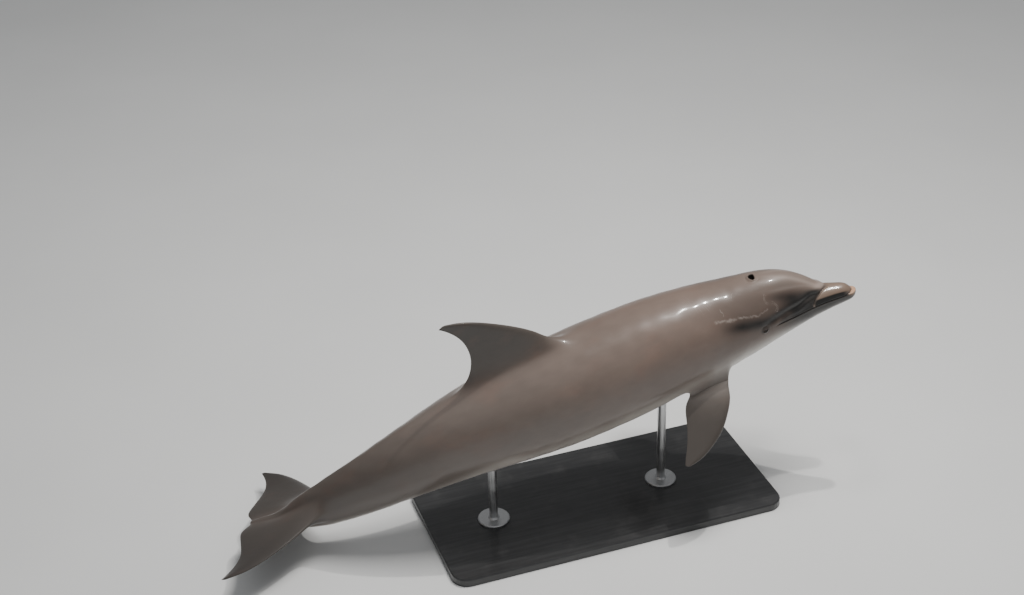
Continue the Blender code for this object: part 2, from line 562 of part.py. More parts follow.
def main():
    for leftover in list(bpy.data.objects):
        bpy.data.objects.remove(leftover)
    part = bpy.data.collections.new("bottlenose_dolphin")
    bpy.context.scene.collection.children.link(part)

    body = body_mesh()
    half = CUT / 2
    skull = part_mesh("skull", body, [cross_cut(NECK, half)])
    jaw = combined("lower_jaw", skull.copy(), jaw_slab("jaw_slab", 0.0), "INTERSECT")
    skull = combined("skull", skull, jaw_slab("jaw_slab", CUT), "DIFFERENCE")
    point, forward = crease_cut(half)
    beak = part_mesh("upper_beak", skull, [(point, forward)])
    head = part_mesh("head", skull, [(crease_cut(-half)[0], -forward)])
    for side in (1, -1):
        head = combined("head", head, ball("socket", eye_centre(side), EYE_RADIUS + CUT), "DIFFERENCE")
    head = combined("head", head, blowhole_cutter(), "DIFFERENCE")

    sections = {}
    for name, front, rear in (("chest", NECK, WAIST), ("midbody", WAIST, LOIN), ("tail_stock", LOIN, None)):
        planes = [(cross_cut(front, -half)[0], -cross_cut(front)[1])]
        if rear:
            planes.append(cross_cut(rear, half))
        sections[name] = part_mesh(name, body, planes)
    for name, place in (("chest", "front"), ("midbody", "rear")):
        sections[name] = combined(name, sections[name], rod_bore(ROD_ALONG[place]), "DIFFERENCE")

    flesh = {"head": head, "upper_beak": beak, "lower_jaw": jaw, **sections, "dorsal_fin": dorsal_fin(),
             "flipper_left": flipper("flipper_left", 1), "flipper_right": flipper("flipper_right", -1),
             "fluke_left": fluke("fluke_left", 1), "fluke_right": fluke("fluke_right", -1)}
    for name, mesh in flesh.items():
        add_piece(part, mesh, name, "skin")
    for name, side in (("eye_left", 1), ("eye_right", -1)):
        add_piece(part, ball(name, eye_centre(side), EYE_RADIUS), name, "eye")
    add_piece(part, stand_base(), "stand_base", "plate")
    for place, along in ROD_ALONG.items():
        add_piece(part, rod(f"stand_rod_{place}", along), f"stand_rod_{place}", "rod")


if __name__ == "__main__":
    main()
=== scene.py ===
"""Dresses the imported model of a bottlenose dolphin, life size, on its two-rod display stand.

The animal is worked out straight first: x runs back from the tip of the beak, y to its left and z up. One
loft makes the body. Fins, eyelids and blowhole grow out of windows in the body's own grid, so the skin is
one closed surface. A bent spine then carries every point into the pose. Metres, in the frame's own axes.
"""

import math

import bmesh
import bpy
import numpy as np
from bpy.props import FloatProperty, FloatVectorProperty, PointerProperty
from mathutils import Matrix, Vector


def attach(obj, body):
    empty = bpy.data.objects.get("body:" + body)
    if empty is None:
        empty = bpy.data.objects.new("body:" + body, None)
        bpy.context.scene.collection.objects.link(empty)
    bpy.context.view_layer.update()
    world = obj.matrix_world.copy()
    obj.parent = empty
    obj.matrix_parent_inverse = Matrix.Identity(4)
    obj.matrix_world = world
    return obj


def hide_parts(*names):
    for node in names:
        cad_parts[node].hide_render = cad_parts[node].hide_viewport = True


bl_info = {
    "name": "Museum dolphin",
    "version": (1, 0, 0),
    "blender": (4, 5, 0),
    "location": "3D View > Sidebar > Dolphin",
    "description": "Skin, eyes and stand finish of a life-size bottlenose dolphin, and the studio round it",
    "category": "Add Mesh",
}

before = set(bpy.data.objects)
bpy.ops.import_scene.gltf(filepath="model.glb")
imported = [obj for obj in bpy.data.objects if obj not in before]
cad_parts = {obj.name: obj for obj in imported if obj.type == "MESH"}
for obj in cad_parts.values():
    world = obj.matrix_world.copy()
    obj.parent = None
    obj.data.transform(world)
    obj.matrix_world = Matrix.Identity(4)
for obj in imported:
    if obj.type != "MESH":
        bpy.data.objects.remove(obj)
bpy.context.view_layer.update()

# ---- The straight animal, as its solids have it ----------------------------------------------------------
LENGTH = 2.42  # of the animal, along its spine
BEAK = 0.100  # from the beak's tip to the melon's crease
BEAK_TIP_ROUND = 0.024  # length of the beak's rounded tip
MELON_STEEP = 0.042  # how gently the forehead climbs: nearly two thirds of its height in this length
# How far the head's rings sweep back at their sides, and the power of the sine that they follow
CREASE_SWEEP, CREASE_POINT = 0.050, 1.15
TIP_REACH = 0.007  # how far the beak's tip is drawn forward
TAIL_END = 2.400  # the last ring of the body
JAW_CORNER = 0.285  # the corner of the mouth

# Lines along the body as (distance behind the beak's tip, height or half width)
BACK = ((0.10, 0.047), (0.20, 0.091), (0.28, 0.1125), (0.34, 0.121), (0.42, 0.129), (0.55, 0.150),
        (0.75, 0.179), (0.95, 0.190), (1.12, 0.192), (1.30, 0.184), (1.50, 0.167), (1.72, 0.140),
        (1.95, 0.110), (2.08, 0.090), (2.18, 0.069), (2.29, 0.036), (2.41, 0.006))
BEAK_TOP = ((0.00, -0.048), (0.03, -0.034), (0.065, -0.0225), (BEAK, -0.0125))
BELLY = ((0.00, -0.093), (0.03, -0.1015), (0.07, -0.1070), (0.13, -0.113), (0.20, -0.126), (0.30, -0.150),
         (0.42, -0.181), (0.60, -0.204), (0.80, -0.213), (1.00, -0.212), (1.20, -0.202), (1.45, -0.174),
         (1.70, -0.144), (1.95, -0.111), (2.08, -0.091), (2.18, -0.069), (2.29, -0.036), (2.41, -0.006))
HALF_WIDTH = ((0.00, 0.023), (0.03, 0.0300), (0.07, 0.0385), (0.12, 0.053), (0.16, 0.069), (0.22, 0.095),
              (0.28, 0.116), (0.34, 0.131), (0.45, 0.152), (0.60, 0.177), (0.80, 0.197), (1.00, 0.202),
              (1.20, 0.192), (1.45, 0.160), (1.70, 0.120), (1.95, 0.080), (2.08, 0.058), (2.18, 0.041),
              (2.29, 0.024), (2.41, 0.006))
# The height at which each ring is widest
WIDEST_LEVEL = ((0.00, -0.068), (0.05, -0.061), (0.12, -0.053), (0.20, -0.045), (0.32, -0.034),
                (0.50, -0.024), (0.85, -0.014), (1.30, -0.006), (1.80, 0.0), (2.41, 0.0))
# The power of the sine across each ring: over 1 draws it in to a keel above and below
KEEL = ((0.00, 0.80), (0.14, 0.90), (0.30, 1.0), (1.30, 1.0), (1.60, 1.10), (1.95, 1.30), (2.18, 1.25),
        (2.41, 1.0))
MOUTH_LEVEL = ((0.00, -0.070), (0.06, -0.0620), (0.12, -0.0540), (0.18, -0.0455), (0.235, -0.0385),
               (JAW_CORNER, -0.033), (0.34, -0.030))

# Angles round the body, in degrees from the back: the fins' windows, the mouth and the belly's midline
FIN_EDGE, FLUKE_HIGH, MOUTH_SEAM, KEEL_SEAM = 11, 58, 90, 180
FLIPPER_HIGH, FLUKE_LOW, FLIPPER_LOW = 116, 122, 140
# First and last ring of each fin's window
FLIPPER_WINDOW = (0.53, 0.73)
DORSAL_WINDOW = (1.02, 1.51)
FLUKE_WINDOW = (2.08, 2.388)

# Front and rear edge of each fin, from root to tip, and its thickness at even steps out along it. The
# dorsal fin's edges are (x, z), the flukes' (x, y), the flippers' (outwards, forwards) in their own plane
DORSAL_LEAD = ((1.062, 0.199), (1.120, 0.244), (1.172, 0.294), (1.232, 0.345), (1.302, 0.395),
               (1.376, 0.440), (1.434, 0.462))
DORSAL_TRAIL = ((1.494, 0.172), (1.436, 0.219), (1.406, 0.273), (1.400, 0.331), (1.412, 0.386),
                (1.438, 0.432), (1.458, 0.455))
DORSAL_THICK = (0.050, 0.040, 0.033, 0.026, 0.020, 0.014, 0.009)
FLIPPER_LEAD = ((-0.050, 0.050), (0.010, 0.078), (0.080, 0.087), (0.155, 0.084), (0.230, 0.064),
                (0.284, 0.038), (0.316, 0.012))
FLIPPER_TRAIL = ((0.052, -0.060), (0.092, -0.070), (0.134, -0.064), (0.185, -0.043), (0.246, -0.024),
                 (0.290, -0.016), (0.320, -0.009))
FLIPPER_THICK = (0.040, 0.032, 0.026, 0.021, 0.016, 0.012, 0.008)
FLIPPER_ROOT = (0.625, 0.152, -0.146)
FLIPPER_BACK, FLIPPER_DOWN = 43.0, 46.0  # degrees that the flippers are swept back and droop
FLUKE_LEAD = ((2.098, 0.062), (2.140, 0.100), (2.180, 0.150), (2.228, 0.210), (2.284, 0.271),
              (2.347, 0.322), (2.404, 0.345))
FLUKE_TRAIL = ((2.386, 0.011), (2.418, 0.050), (2.412, 0.105), (2.396, 0.165), (2.387, 0.225),
               (2.399, 0.290), (2.426, 0.349))
FLUKE_THICK = (0.052, 0.036, 0.029, 0.023, 0.017, 0.012, 0.008)
NOSE_ANGLE, HEEL_ANGLE = 38.0, 30.0  # degrees of a section's loop that its front and rear take up each way
DORSAL_FILLET, TWIN_FILLET = 0.22, 0.16  # share of a fin's height that its root fillet takes up

# The pose: a bent spine. Degrees added, and the stretch of the body over which they come in
NOSE_UP = 15.0
PITCH_BENDS = ((4.0, 0.70, 0.14), (12.5, 1.30, 1.90), (-16.0, 2.02, 2.38))
YAW_BENDS = ((-21.0, 0.70, 0.14), (-22.5, 1.30, 2.30))
ROLL_BENDS = ((5.0, 0.70, 0.25), (-5.0, 1.5, 2.3))
ANCHOR_ALONG, ANCHOR_HEIGHT = 1.00, 0.580  # the place on the spine that is over the origin, and its height

EYE_ALONG, EYE_LEVEL = 0.345, -0.027
EYE_RADIUS, EYE_SUNK = 0.0165, 0.0125  # the eyeball, and how far its middle lies under the skin
BLOWHOLE_ALONG = 0.337  # middle of the hole, behind the beak tip
LIP_LEDGE = 0.0042  # height of the ledge that the lower lip makes in front of the upper jaw

# ---- How finely the skin is drawn ------------------------------------------------------------------------
# Places along the body where the pitch of the rings changes, with the pitch up to each
RING_PITCH = ((0.088, 0.0035), (0.116, 0.0014), (0.302, 0.0036), (0.388, 0.0023), (0.53, 0.0058),
              (0.73, 0.0062), (1.02, 0.0115), (1.51, 0.0092), (2.08, 0.0115), (2.388, 0.0054),
              (TAIL_END, 0.004))
TIP_RINGS = 12  # rings round the beak's tip
# Angles round the body where the pitch of the columns changes, with the pitch up to each
COLUMN_PITCH = ((FIN_EDGE, 2.2), (FLUKE_HIGH, 3.0), (74, 2.7))
COLUMN_PITCH_LOW = ((FLIPPER_HIGH, 2.5), (FLUKE_LOW, 2.0), (FLIPPER_LOW, 2.6), (176, 3.0))
# Columns on each side of the mouth and next to the belly's midline, in degrees from them
LIP_OFFSETS = (0.3, 0.6, 0.95, 1.35, 1.85, 2.5, 3.4, 4.7, 6.6, 9.2, 12.4)
KEEL_OFFSETS = (3.0, 2.0, 1.2, 0.6, 0.25)
FIN_ROWS, FILLET_ROWS, TIP_ROWS = 38, 14, 6  # sections of a fin, those in its fillet, and those of its tip
FIN_TIP = 0.005  # how far a fin's rounded tip reaches past its last section
FIN_FULL, FIN_PEAK = 0.6, 1.13  # how much fuller a section is in front, and its height before scaling
FIN_SHADE = 0.35  # share of a fin's colour at its root, before the fillet blends it in, rising to 1 at the tip


# ---- Curves and sections ---------------------------------------------------------------------------------
def smooth_curve(points):
    """The natural cubic spline through the points, as a function of their first coordinate."""
    x, y = np.array(points, float).T
    step = np.diff(x)
    count = len(x)
    system, right = np.eye(count), np.zeros(count)
    for i in range(1, count - 1):
        system[i, i - 1 : i + 2] = step[i - 1], 2 * (step[i - 1] + step[i]), step[i]
        right[i] = 6 * ((y[i + 1] - y[i]) / step[i] - (y[i] - y[i - 1]) / step[i - 1])
    bend = np.linalg.solve(system, right)

    def value(at):
        at = np.clip(np.asarray(at, float), x[0], x[-1])
        i = np.clip(np.searchsorted(x, at) - 1, 0, count - 2)
        a, b = (x[i + 1] - at) / step[i], (at - x[i]) / step[i]
        curve = ((a**3 - a) * bend[i] + (b**3 - b) * bend[i + 1]) * step[i] ** 2 / 6
        return a * y[i] + b * y[i + 1] + curve

    return value


def smooth_path(points):
    """The spline path through the points, from 0 at the first to 1 at the last, one row a point."""
    share = np.linspace(0, 1, len(points))
    axes = [smooth_curve(list(zip(share, axis))) for axis in zip(*points)]
    return lambda at: np.stack([axis(at) for axis in axes], axis=-1)


def eased(at, begin, end):
    """0 before begin, 1 after end, smooth between them. End may lie before begin."""
    t = np.clip((np.asarray(at, float) - begin) / (end - begin), 0, 1)
    return t * t * (3 - 2 * t)


def within(at, begin, full, fade, end):
    """0 before begin, 1 from full to fade, 0 again after end, smooth between them."""
    return eased(at, begin, full) * (1 - eased(at, fade, end))


def hump(at, middle, width):
    """A bell curve: 1 at the middle, falling to a third of that a width away."""
    return np.exp(-(((np.asarray(at, float) - middle) / width) ** 2))


BACK_AT, BEAK_TOP_AT, BELLY_AT = smooth_curve(BACK), smooth_curve(BEAK_TOP), smooth_curve(BELLY)
HALF_WIDTH_AT, LEVEL_AT = smooth_curve(HALF_WIDTH), smooth_curve(WIDEST_LEVEL)
KEEL_AT, MOUTH_AT = smooth_curve(KEEL), smooth_curve(MOUTH_LEVEL)


def back_line(x):
    """Height of the back: the beak's own top, then a forehead that climbs from the crease to the back."""
    crease = float(BEAK_TOP_AT(BEAK))
    climb = 1 - np.exp(-np.maximum(x - BEAK, 0) / MELON_STEEP)
    return np.where(x < BEAK, BEAK_TOP_AT(x), crease + (BACK_AT(x) - crease) * climb)


def skin_point(ring, angle):
    """A point of the straight body, for a ring's place and an angle round it in degrees, 0 on the back.

    Each ring is two half ellipses that meet at the widest level, drawn in towards a keel on the tail stock.
    On the head the ring's sides sweep back, so that one ring runs along the crease, and the seam at 90
    degrees follows the mouth.
    """
    ring, angle = np.broadcast_arrays(np.asarray(ring, float), np.asarray(angle, float))
    sweep = CREASE_SWEEP * eased(ring, 0.0, BEAK) * (1 - eased(ring, BEAK, 0.44))
    side = ring + sweep
    level = LEVEL_AT(side)
    tip = np.clip(1 - ring / BEAK_TIP_ROUND, 0, 1)
    blunt = np.sqrt(1 - tip**2)
    up, down = (back_line(ring) - level) * blunt, (level - BELLY_AT(ring)) * blunt
    half = HALF_WIDTH_AT(side) * blunt

    drop = (MOUTH_AT(side) - level) / np.where(MOUTH_AT(side) < level, down, up).clip(1e-4)
    mouth = np.degrees(np.arccos(np.clip(drop, -0.5, 0.5)))
    shift = (mouth - MOUTH_SEAM) * (1 - eased(ring, JAW_CORNER, 0.46)) * eased(ring, 0.0, 0.02)
    turn = np.abs(angle)
    near = np.where(turn < MOUTH_SEAM, turn / MOUTH_SEAM, (KEEL_SEAM - turn) / (KEEL_SEAM - MOUTH_SEAM))
    turn = np.radians(turn + shift * near**2)

    sine, cosine = np.sin(turn).clip(0), np.cos(turn)
    across = half * sine ** KEEL_AT(ring) * np.sign(angle)
    height = level + np.where(cosine > 0, up, down) * cosine
    along = ring + sweep * sine**CREASE_POINT - TIP_REACH * (1 - eased(ring, 0.0, BEAK))
    return np.stack([along, across, height], axis=-1)


def skin_frame(ring, angle):
    """The skin's point and outward normal there, and its metres per degree round the body."""
    step, turn = 0.002, 0.5
    along = skin_point(ring + step, angle) - skin_point(ring - step, angle)
    around = skin_point(ring, angle + turn) - skin_point(ring, angle - turn)
    normal = np.cross(along, around)
    normal /= np.linalg.norm(normal, axis=-1, keepdims=True)
    return skin_point(ring, angle), normal, np.linalg.norm(around, axis=-1)


# ---- The pose --------------------------------------------------------------------------------------------
def bent(at, bends, start=0.0):
    """The angle in radians at a distance behind the beak tip, with every bend added."""
    return np.radians(start + sum(degrees * eased(at, begin, end) for degrees, begin, end in bends))


def frame_at(along):
    """Rows forward, left and up of the spine there, in world axes."""
    pitch, yaw, roll = bent(along, PITCH_BENDS, NOSE_UP), bent(along, YAW_BENDS), bent(along, ROLL_BENDS)
    zero = np.zeros_like(pitch)
    forward = np.stack([np.cos(pitch) * np.cos(yaw), np.cos(pitch) * np.sin(yaw), np.sin(pitch)], axis=-1)
    left = np.stack([-np.sin(yaw), np.cos(yaw), zero], axis=-1)
    up = np.cross(forward, left)
    cosine, sine = np.cos(roll)[..., None], np.sin(roll)[..., None]
    return forward, left * cosine + up * sine, up * cosine - left * sine


SPINE_ALONG = np.linspace(-0.3, LENGTH + 0.3, 1101)
SPINE_STEPS = np.diff(SPINE_ALONG)[:, None] * frame_at((SPINE_ALONG[1:] + SPINE_ALONG[:-1]) / 2)[0]
SPINE = np.vstack([np.zeros(3), -np.cumsum(SPINE_STEPS, axis=0)])
SPINE -= [np.interp(ANCHOR_ALONG, SPINE_ALONG, SPINE[:, axis]) for axis in range(3)]
SPINE[:, 2] += ANCHOR_HEIGHT


def posed(points):
    """Carries points of the straight animal into the pose, in world coordinates."""
    points = np.asarray(points, float)
    along = points[..., 0]
    centre = np.stack([np.interp(along, SPINE_ALONG, SPINE[:, axis]) for axis in range(3)], axis=-1)
    _, left, up = frame_at(along)
    return centre + left * points[..., 1:2] + up * points[..., 2:3]


# ---- Relief of the skin ----------------------------------------------------------------------------------
# The melon's lower margin: the angle round the body at which it runs, by ring
MARGIN = smooth_curve(((0.09, 20), (0.113, 36), (0.141, 57), (0.19, 70), (0.255, 76), (0.326, 79),
                       (0.40, 80)))
# The crease in front of the melon: its ring, by angle round the body
CREASE = smooth_curve(((0, 0.0885), (10, 0.0925), (20, 0.0955), (40, 0.0985), (60, 0.1010), (90, 0.1025)))
# The shallow trough above the melon's lower margin: its middle angle and half width, by ring
BRIDLE = smooth_curve(((0.10, 34), (0.13, 39), (0.165, 44), (0.20, 47), (0.26, 48), (0.32, 47)))
BRIDLE_WIDE = smooth_curve(((0.10, 4), (0.13, 6), (0.165, 9), (0.20, 10), (0.26, 8), (0.32, 5)))
# The light streaks over the melon: their middle angles, by ring
STREAK = smooth_curve(((0.10, 6), (0.12, 11.5), (0.165, 13), (0.233, 10), (0.307, 6)))
LOW_STREAK = smooth_curve(((0.10, 14), (0.12, 18), (0.147, 23), (0.178, 29), (0.216, 33), (0.265, 35),
                           (0.34, 34)))
# The face's painted shade with the dark eye patch: its upper edge in front of the eye, and the middle
# of its band back over the eye
FACE_EDGE = smooth_curve(((0.10, 19), (0.117, 24), (0.14, 36), (0.165, 41), (0.195, 42), (0.23, 43),
                          (0.34, 46)))
FACE_BAND = smooth_curve(((0.16, 60), (0.195, 66), (0.23, 71), (0.265, 75), (0.30, 78), (0.36, 76),
                          (0.44, 70), (0.56, 62)))
# The navel and the two slits of the belly: first and last ring, depth and half width, in metres
BELLY_SLITS = ((1.165, 1.180, 0.0022, 0.0040), (1.545, 1.640, 0.0030, 0.0024),
               (1.690, 1.708, 0.0026, 0.0026))


def lip_line(ring):
    """How far above the seam the jaws meet, in metres: at the tip the lower lip stands before the upper."""
    return LIP_LEDGE * (1 - eased(ring, 0.012, 0.040))


def mouth_shade(ring, off_lips):
    """How deep a point lies in the line of the mouth, from 0 to 1, for its distance below the seam."""
    along = within(ring, 0.0005, 0.004, JAW_CORNER - 0.03, JAW_CORNER + 0.006)
    return hump(off_lips + lip_line(ring), 0, 0.0015) * along


def crease_shade(ring, turn):
    """How deep a point lies in the crease between beak and melon, from 0 to 1."""
    return hump(ring, CREASE(turn), 0.0044) * (1 - eased(turn, 70, 88))


def relief(ring, angle, scale):
    """Height of the skin above the plain loft, in metres. scale is the metres per degree round the body.

    Added together: the mouth's groove with a lip each side, the crease in front of the melon with a fuller
    roll behind it, the valley below the melon with a fuller melon above, a cheek under it and a shallow
    trough over it, a faint crease at the neck, a brow over the eye, the soft trough along each side of the
    tail stock, the navel and slits of the belly, and a slow unevenness of the flesh with a finer ripple.
    """
    turn = np.abs(angle)
    off_lips, off_margin = (turn - MOUTH_SEAM) * scale, (turn - MARGIN(ring)) * scale
    lips = within(ring, 0.006, 0.02, 0.20, 0.27)
    along = within(ring, 0.104, 0.130, 0.27, 0.37)
    height = -0.0026 * mouth_shade(ring, off_lips)
    height += 0.0009 * lips * (hump(off_lips, 0.0042, 0.003) + 0.8 * hump(off_lips, -0.0042, 0.003))
    height -= 0.0046 * crease_shade(ring, turn)
    height += 0.0058 * hump(ring, CREASE(turn) + 0.0125, 0.0095) * (1 - eased(turn, 14, 40))
    height -= 0.0042 * hump(off_margin, 0.0045, 0.009) * within(ring, 0.096, 0.108, 0.27, 0.36)
    height += along * (0.0018 * hump(off_margin, -0.016, 0.010) + 0.0016 * hump(off_margin, 0.021, 0.009))
    height -= 0.0022 * along * hump((turn - BRIDLE(ring)) / BRIDLE_WIDE(ring), 0, 1.0)
    height -= 0.0009 * hump(ring, 0.445, 0.022) * (1 - eased(turn, 70, 100))
    height += 0.0022 * hump(ring, EYE_ALONG, 0.030) * hump((turn - 78) * scale, 0, 0.012)
    height -= 0.0016 * hump(turn, 84, 9) * within(ring, 1.45, 1.7, 2.02, 2.12)
    off_middle = (KEEL_SEAM - turn) * scale
    for begin, end, deep, wide in BELLY_SLITS:
        length = within(ring, begin - 0.006, begin + 0.006, end - 0.006, end + 0.006)
        section = hump(off_middle, 0, wide) - 0.25 * hump(off_middle, 3.0 * wide, 1.6 * wide)
        height -= length * deep * section
    slow = np.sin(9.1 * ring + 0.05 * angle) * np.sin(0.047 * angle + 2.3 * ring)
    slow = slow + 0.6 * np.sin(23.0 * ring - 0.09 * angle)
    ripple = np.sin(83.0 * ring + 0.11 * angle) + np.sin(57.0 * ring - 0.16 * angle + 1.0)
    return height + (0.0005 * slow + 0.00024 * ripple) * eased(ring, 0.15, 0.5)


# ---- The skin, put together strip by strip ---------------------------------------------------------------
class Skin:
    """Collects the skin's points, their facts, its faces and its flat map."""

    def __init__(self):
        self.points, self.facts, self.count = [], [], 0
        self.faces, self.flats = [], []

    def add_points(self, points, ring, angle, fin=0.0, lid=0.0, pit=0.0):
        """Adds a grid of points with their place on the body, and gives back their numbers."""
        shape = points.shape[:-1]
        facts = np.stack(np.broadcast_arrays(ring, angle, fin, lid, pit, np.zeros(shape))[:5], axis=-1)
        self.points.append(points.reshape(-1, 3))
        self.facts.append(facts.reshape(-1, 5))
        index = np.arange(self.count, self.count + math.prod(shape)).reshape(shape)
        self.count += math.prod(shape)
        return index

    def add_strip(self, index, flat, keep=None):
        """Adds a four-sided face for each cell of a grid of point numbers, with its flat coordinates."""
        cells = [(slice(None, -1), slice(None, -1)), (slice(1, None), slice(None, -1)),
                 (slice(1, None), slice(1, None)), (slice(None, -1), slice(1, None))]
        faces = np.stack([index[cell] for cell in cells], axis=-1)
        flats = np.stack([flat[cell] for cell in cells], axis=-2)
        keep = np.ones(faces.shape[:2], bool) if keep is None else keep
        self.faces.append(faces[keep])
        self.flats.append(flats[keep])

    def add_fan(self, loop, pole, flat, flat_pole):
        """Adds triangles from an open run of point numbers to one pole."""
        self.faces.append(np.stack([loop[:-1], loop[1:], np.full(len(loop) - 1, pole)], axis=-1))
        poles = np.broadcast_to(flat_pole, flat[1:].shape)
        self.flats.append(np.stack([flat[:-1], flat[1:], poles], axis=-2))


def stepped(begin, stretches):
    """Places after begin, evenly spaced up to each stretch's end at about that stretch's pitch."""
    places = []
    for end, pitch in stretches:
        steps = max(1, round((end - begin) / pitch))
        places.extend(begin + (end - begin) * np.arange(1, steps + 1) / steps)
        begin = end
    return places


def stations():
    """Places of the rings: even round the beak's rounded tip, then at each stretch's own pitch."""
    turn = np.arange(1, TIP_RINGS + 1) / TIP_RINGS * math.pi / 2
    return np.array([*(BEAK_TIP_ROUND * (1 - np.cos(turn))), *stepped(BEAK_TIP_ROUND, RING_PITCH)])


def columns():
    """Angles of the columns, from the belly's midline up the right side, over the back and down again."""
    half = [0.0, *stepped(0.0, COLUMN_PITCH)]
    half += [*(MOUTH_SEAM - offset for offset in LIP_OFFSETS[::-1]), MOUTH_SEAM]
    half += [MOUTH_SEAM + offset for offset in LIP_OFFSETS]
    half += stepped(half[-1], COLUMN_PITCH_LOW)
    half += [*(KEEL_SEAM - offset for offset in KEEL_OFFSETS), KEEL_SEAM]
    return np.concatenate([-np.array(half[::-1]), half[1:-1]])


PLACES, ANGLES = stations(), columns()
# The skin's length round half of each ring, as the sum of short steps
GIRTH_PLACES = np.linspace(0.0, LENGTH, 243)
GIRTH_TURNS = np.linspace(0, 180, 61)
GIRTH_STEPS = np.diff(skin_point(GIRTH_PLACES[:, None], GIRTH_TURNS[None, :]), axis=1)
GIRTH = np.linalg.norm(GIRTH_STEPS, axis=-1).sum(axis=1)
MAP_LONG, MAP_MIDDLE = 2.46, 0.66  # side of the flat map, and where the back's midline runs on it


def half_girth(ring):
    """Length of the skin from the back's midline down to the belly's, at a ring."""
    return np.interp(ring, GIRTH_PLACES, GIRTH)


def paired(first, second):
    """Two sets of numbers, broadcast together, as pairs."""
    return np.stack(np.broadcast_arrays(first, second), axis=-1)


def flat_place(ring, angle):
    """The body unrolled: along it, and round it from the back's midline, in metres."""
    return paired(ring, angle / 180 * half_girth(ring) + MAP_MIDDLE)


def nearest(values, wanted):
    """The number of the value that is closest to the wanted one."""
    return int(np.argmin(np.abs(values - wanted)))


def window_of(places, angles, side=1):
    """The rows and columns of the body's grid between two rings and two angles, as slices of points."""
    begin, end = sorted(side * angle for angle in angles)
    rows = slice(nearest(PLACES, places[0]), nearest(PLACES, places[1]) + 1)
    return rows, slice(nearest(ANGLES, begin), nearest(ANGLES, end) + 1)


def rim_of(shape):
    """Row and column of each point round a window's rim, from its first corner."""
    long, wide = shape[0] - 1, shape[1] - 1
    rim = ([(i, 0) for i in range(long)] + [(long, j) for j in range(wide)]
           + [(i, wide) for i in range(long, 0, -1)] + [(0, j) for j in range(wide, 0, -1)])
    return np.array(rim).T


def wrap(grid):
    """The grid with its first column once more at the end."""
    return np.concatenate([grid, grid[:, :1]], axis=1)


def fin_section(steps_long, steps_wide):
    """The fin's section as a loop of (share of the chord, share of the thickness), from one side's front.

    It is a teardrop: a sine that is fuller in front. Its steps match those of the window it grows from.
    """
    front, heel = math.radians(NOSE_ANGLE), math.radians(HEEL_ANGLE)
    share = np.linspace((1 - math.cos(front)) / 2, (1 + math.cos(heel)) / 2, steps_long + 1)
    side = np.arccos(1 - 2 * share)
    rear = np.linspace(math.pi - heel, math.pi + heel, steps_wide + 1)[1:-1]
    nose = np.linspace(-front, front, steps_wide + 1)[1:-1]
    turn = np.concatenate([side, rear, 2 * math.pi - side[::-1], nose])
    return (1 - np.cos(turn)) / 2, np.sin(turn) * (1 + FIN_FULL * np.cos(turn)) / FIN_PEAK


def fin_rows(fillet_share):
    """For each section: its share of the way to the tip, and how much of the window's shape it still has.

    The fillet is a quarter of an ellipse that leaves the body along its skin and ends along the fin. The
    sections crowd together towards the tip.
    """
    turn = np.linspace(0, math.pi / 2, FILLET_ROWS + 1)
    rest = 1 - (1 - np.arange(1, FIN_ROWS - FILLET_ROWS) / (FIN_ROWS - FILLET_ROWS - 1)) ** 1.5
    share = np.concatenate([(1 - np.cos(turn)) * fillet_share, fillet_share + (1 - fillet_share) * rest])
    kept = np.concatenate([1 - np.sin(turn), np.zeros(len(rest))])
    return share, kept


def grow_fin(skin, body, window, lead, trail, thick, normal, fillet_share, map_corner, side=1):
    """A fin lofted out of a window of the body's grid, from its rim to a rounded tip.

    lead and trail give the front and rear edges, normal the way its first side faces, all for the left or
    the middle; side -1 makes its twin on the right. Each section is the teardrop between the two edges,
    drawn towards the window's rim near the root.
    """
    flip = np.array((1, side, 1))
    root_index = body[window]
    root = np.concatenate(skin.points)[root_index]
    i, j = rim_of(root_index.shape)
    chord, depth = fin_section(root.shape[0] - 1, root.shape[1] - 1)
    share, kept = fin_rows(fillet_share)
    front, back = flip * lead(share)[:, None, :], flip * trail(share)[:, None, :]
    thickness = smooth_curve(list(zip(np.linspace(0, 1, len(thick)), thick)))(share)[:, None, None]
    sections = front + (back - front) * chord[None, :, None]
    sections = sections + side * flip * normal * thickness * depth[None, :, None] / 2
    sections = sections + (root[i, j] - sections[0]) * kept[:, None, None]

    onward = flip * (lead(1.0) + trail(1.0) - lead(0.96) - trail(0.96))
    onward /= np.linalg.norm(onward)
    turn = np.linspace(0, math.pi / 2, TIP_ROWS + 1)[1:, None, None]
    middle = sections[-1].mean(axis=0)
    cap = middle + (sections[-1] - middle) * np.cos(turn) + onward * FIN_TIP * np.sin(turn)
    rows = np.concatenate([sections[1:], cap[:-1]])
    shares = np.concatenate([share[1:], np.ones(TIP_ROWS - 1)])[:, None]

    facts = np.concatenate(skin.facts)[root_index][i, j]
    blend = np.concatenate([1 - kept[1:], np.ones(TIP_ROWS - 1)])[:, None]
    shade = blend * (FIN_SHADE + (1 - FIN_SHADE) * shares)
    index = skin.add_points(rows, facts[:, 0], facts[:, 1], fin=shade)
    pole = skin.add_points(cap[-1:, 0], facts[:1, 0], facts[:1, 1], fin=1.0)
    index = wrap(np.concatenate([root_index[i, j][None], index]))
    run = np.linalg.norm(np.diff(wrap(root[i, j][None]), axis=1), axis=-1)[0]
    run = np.concatenate([[0], np.cumsum(run)])
    rise = np.linalg.norm(np.diff(sections, axis=0), axis=-1).mean(axis=1)
    rise = np.concatenate([[0], np.cumsum(rise), rise.sum() + FIN_TIP * np.sin(turn[:-1, 0, 0])])
    flat = paired(run[None, :], rise[:, None]) + map_corner
    skin.add_strip(index, flat)
    skin.add_fan(index[-1], pole[0], flat[-1], flat[-1].mean(axis=0) + (0, 0.002))
    return index


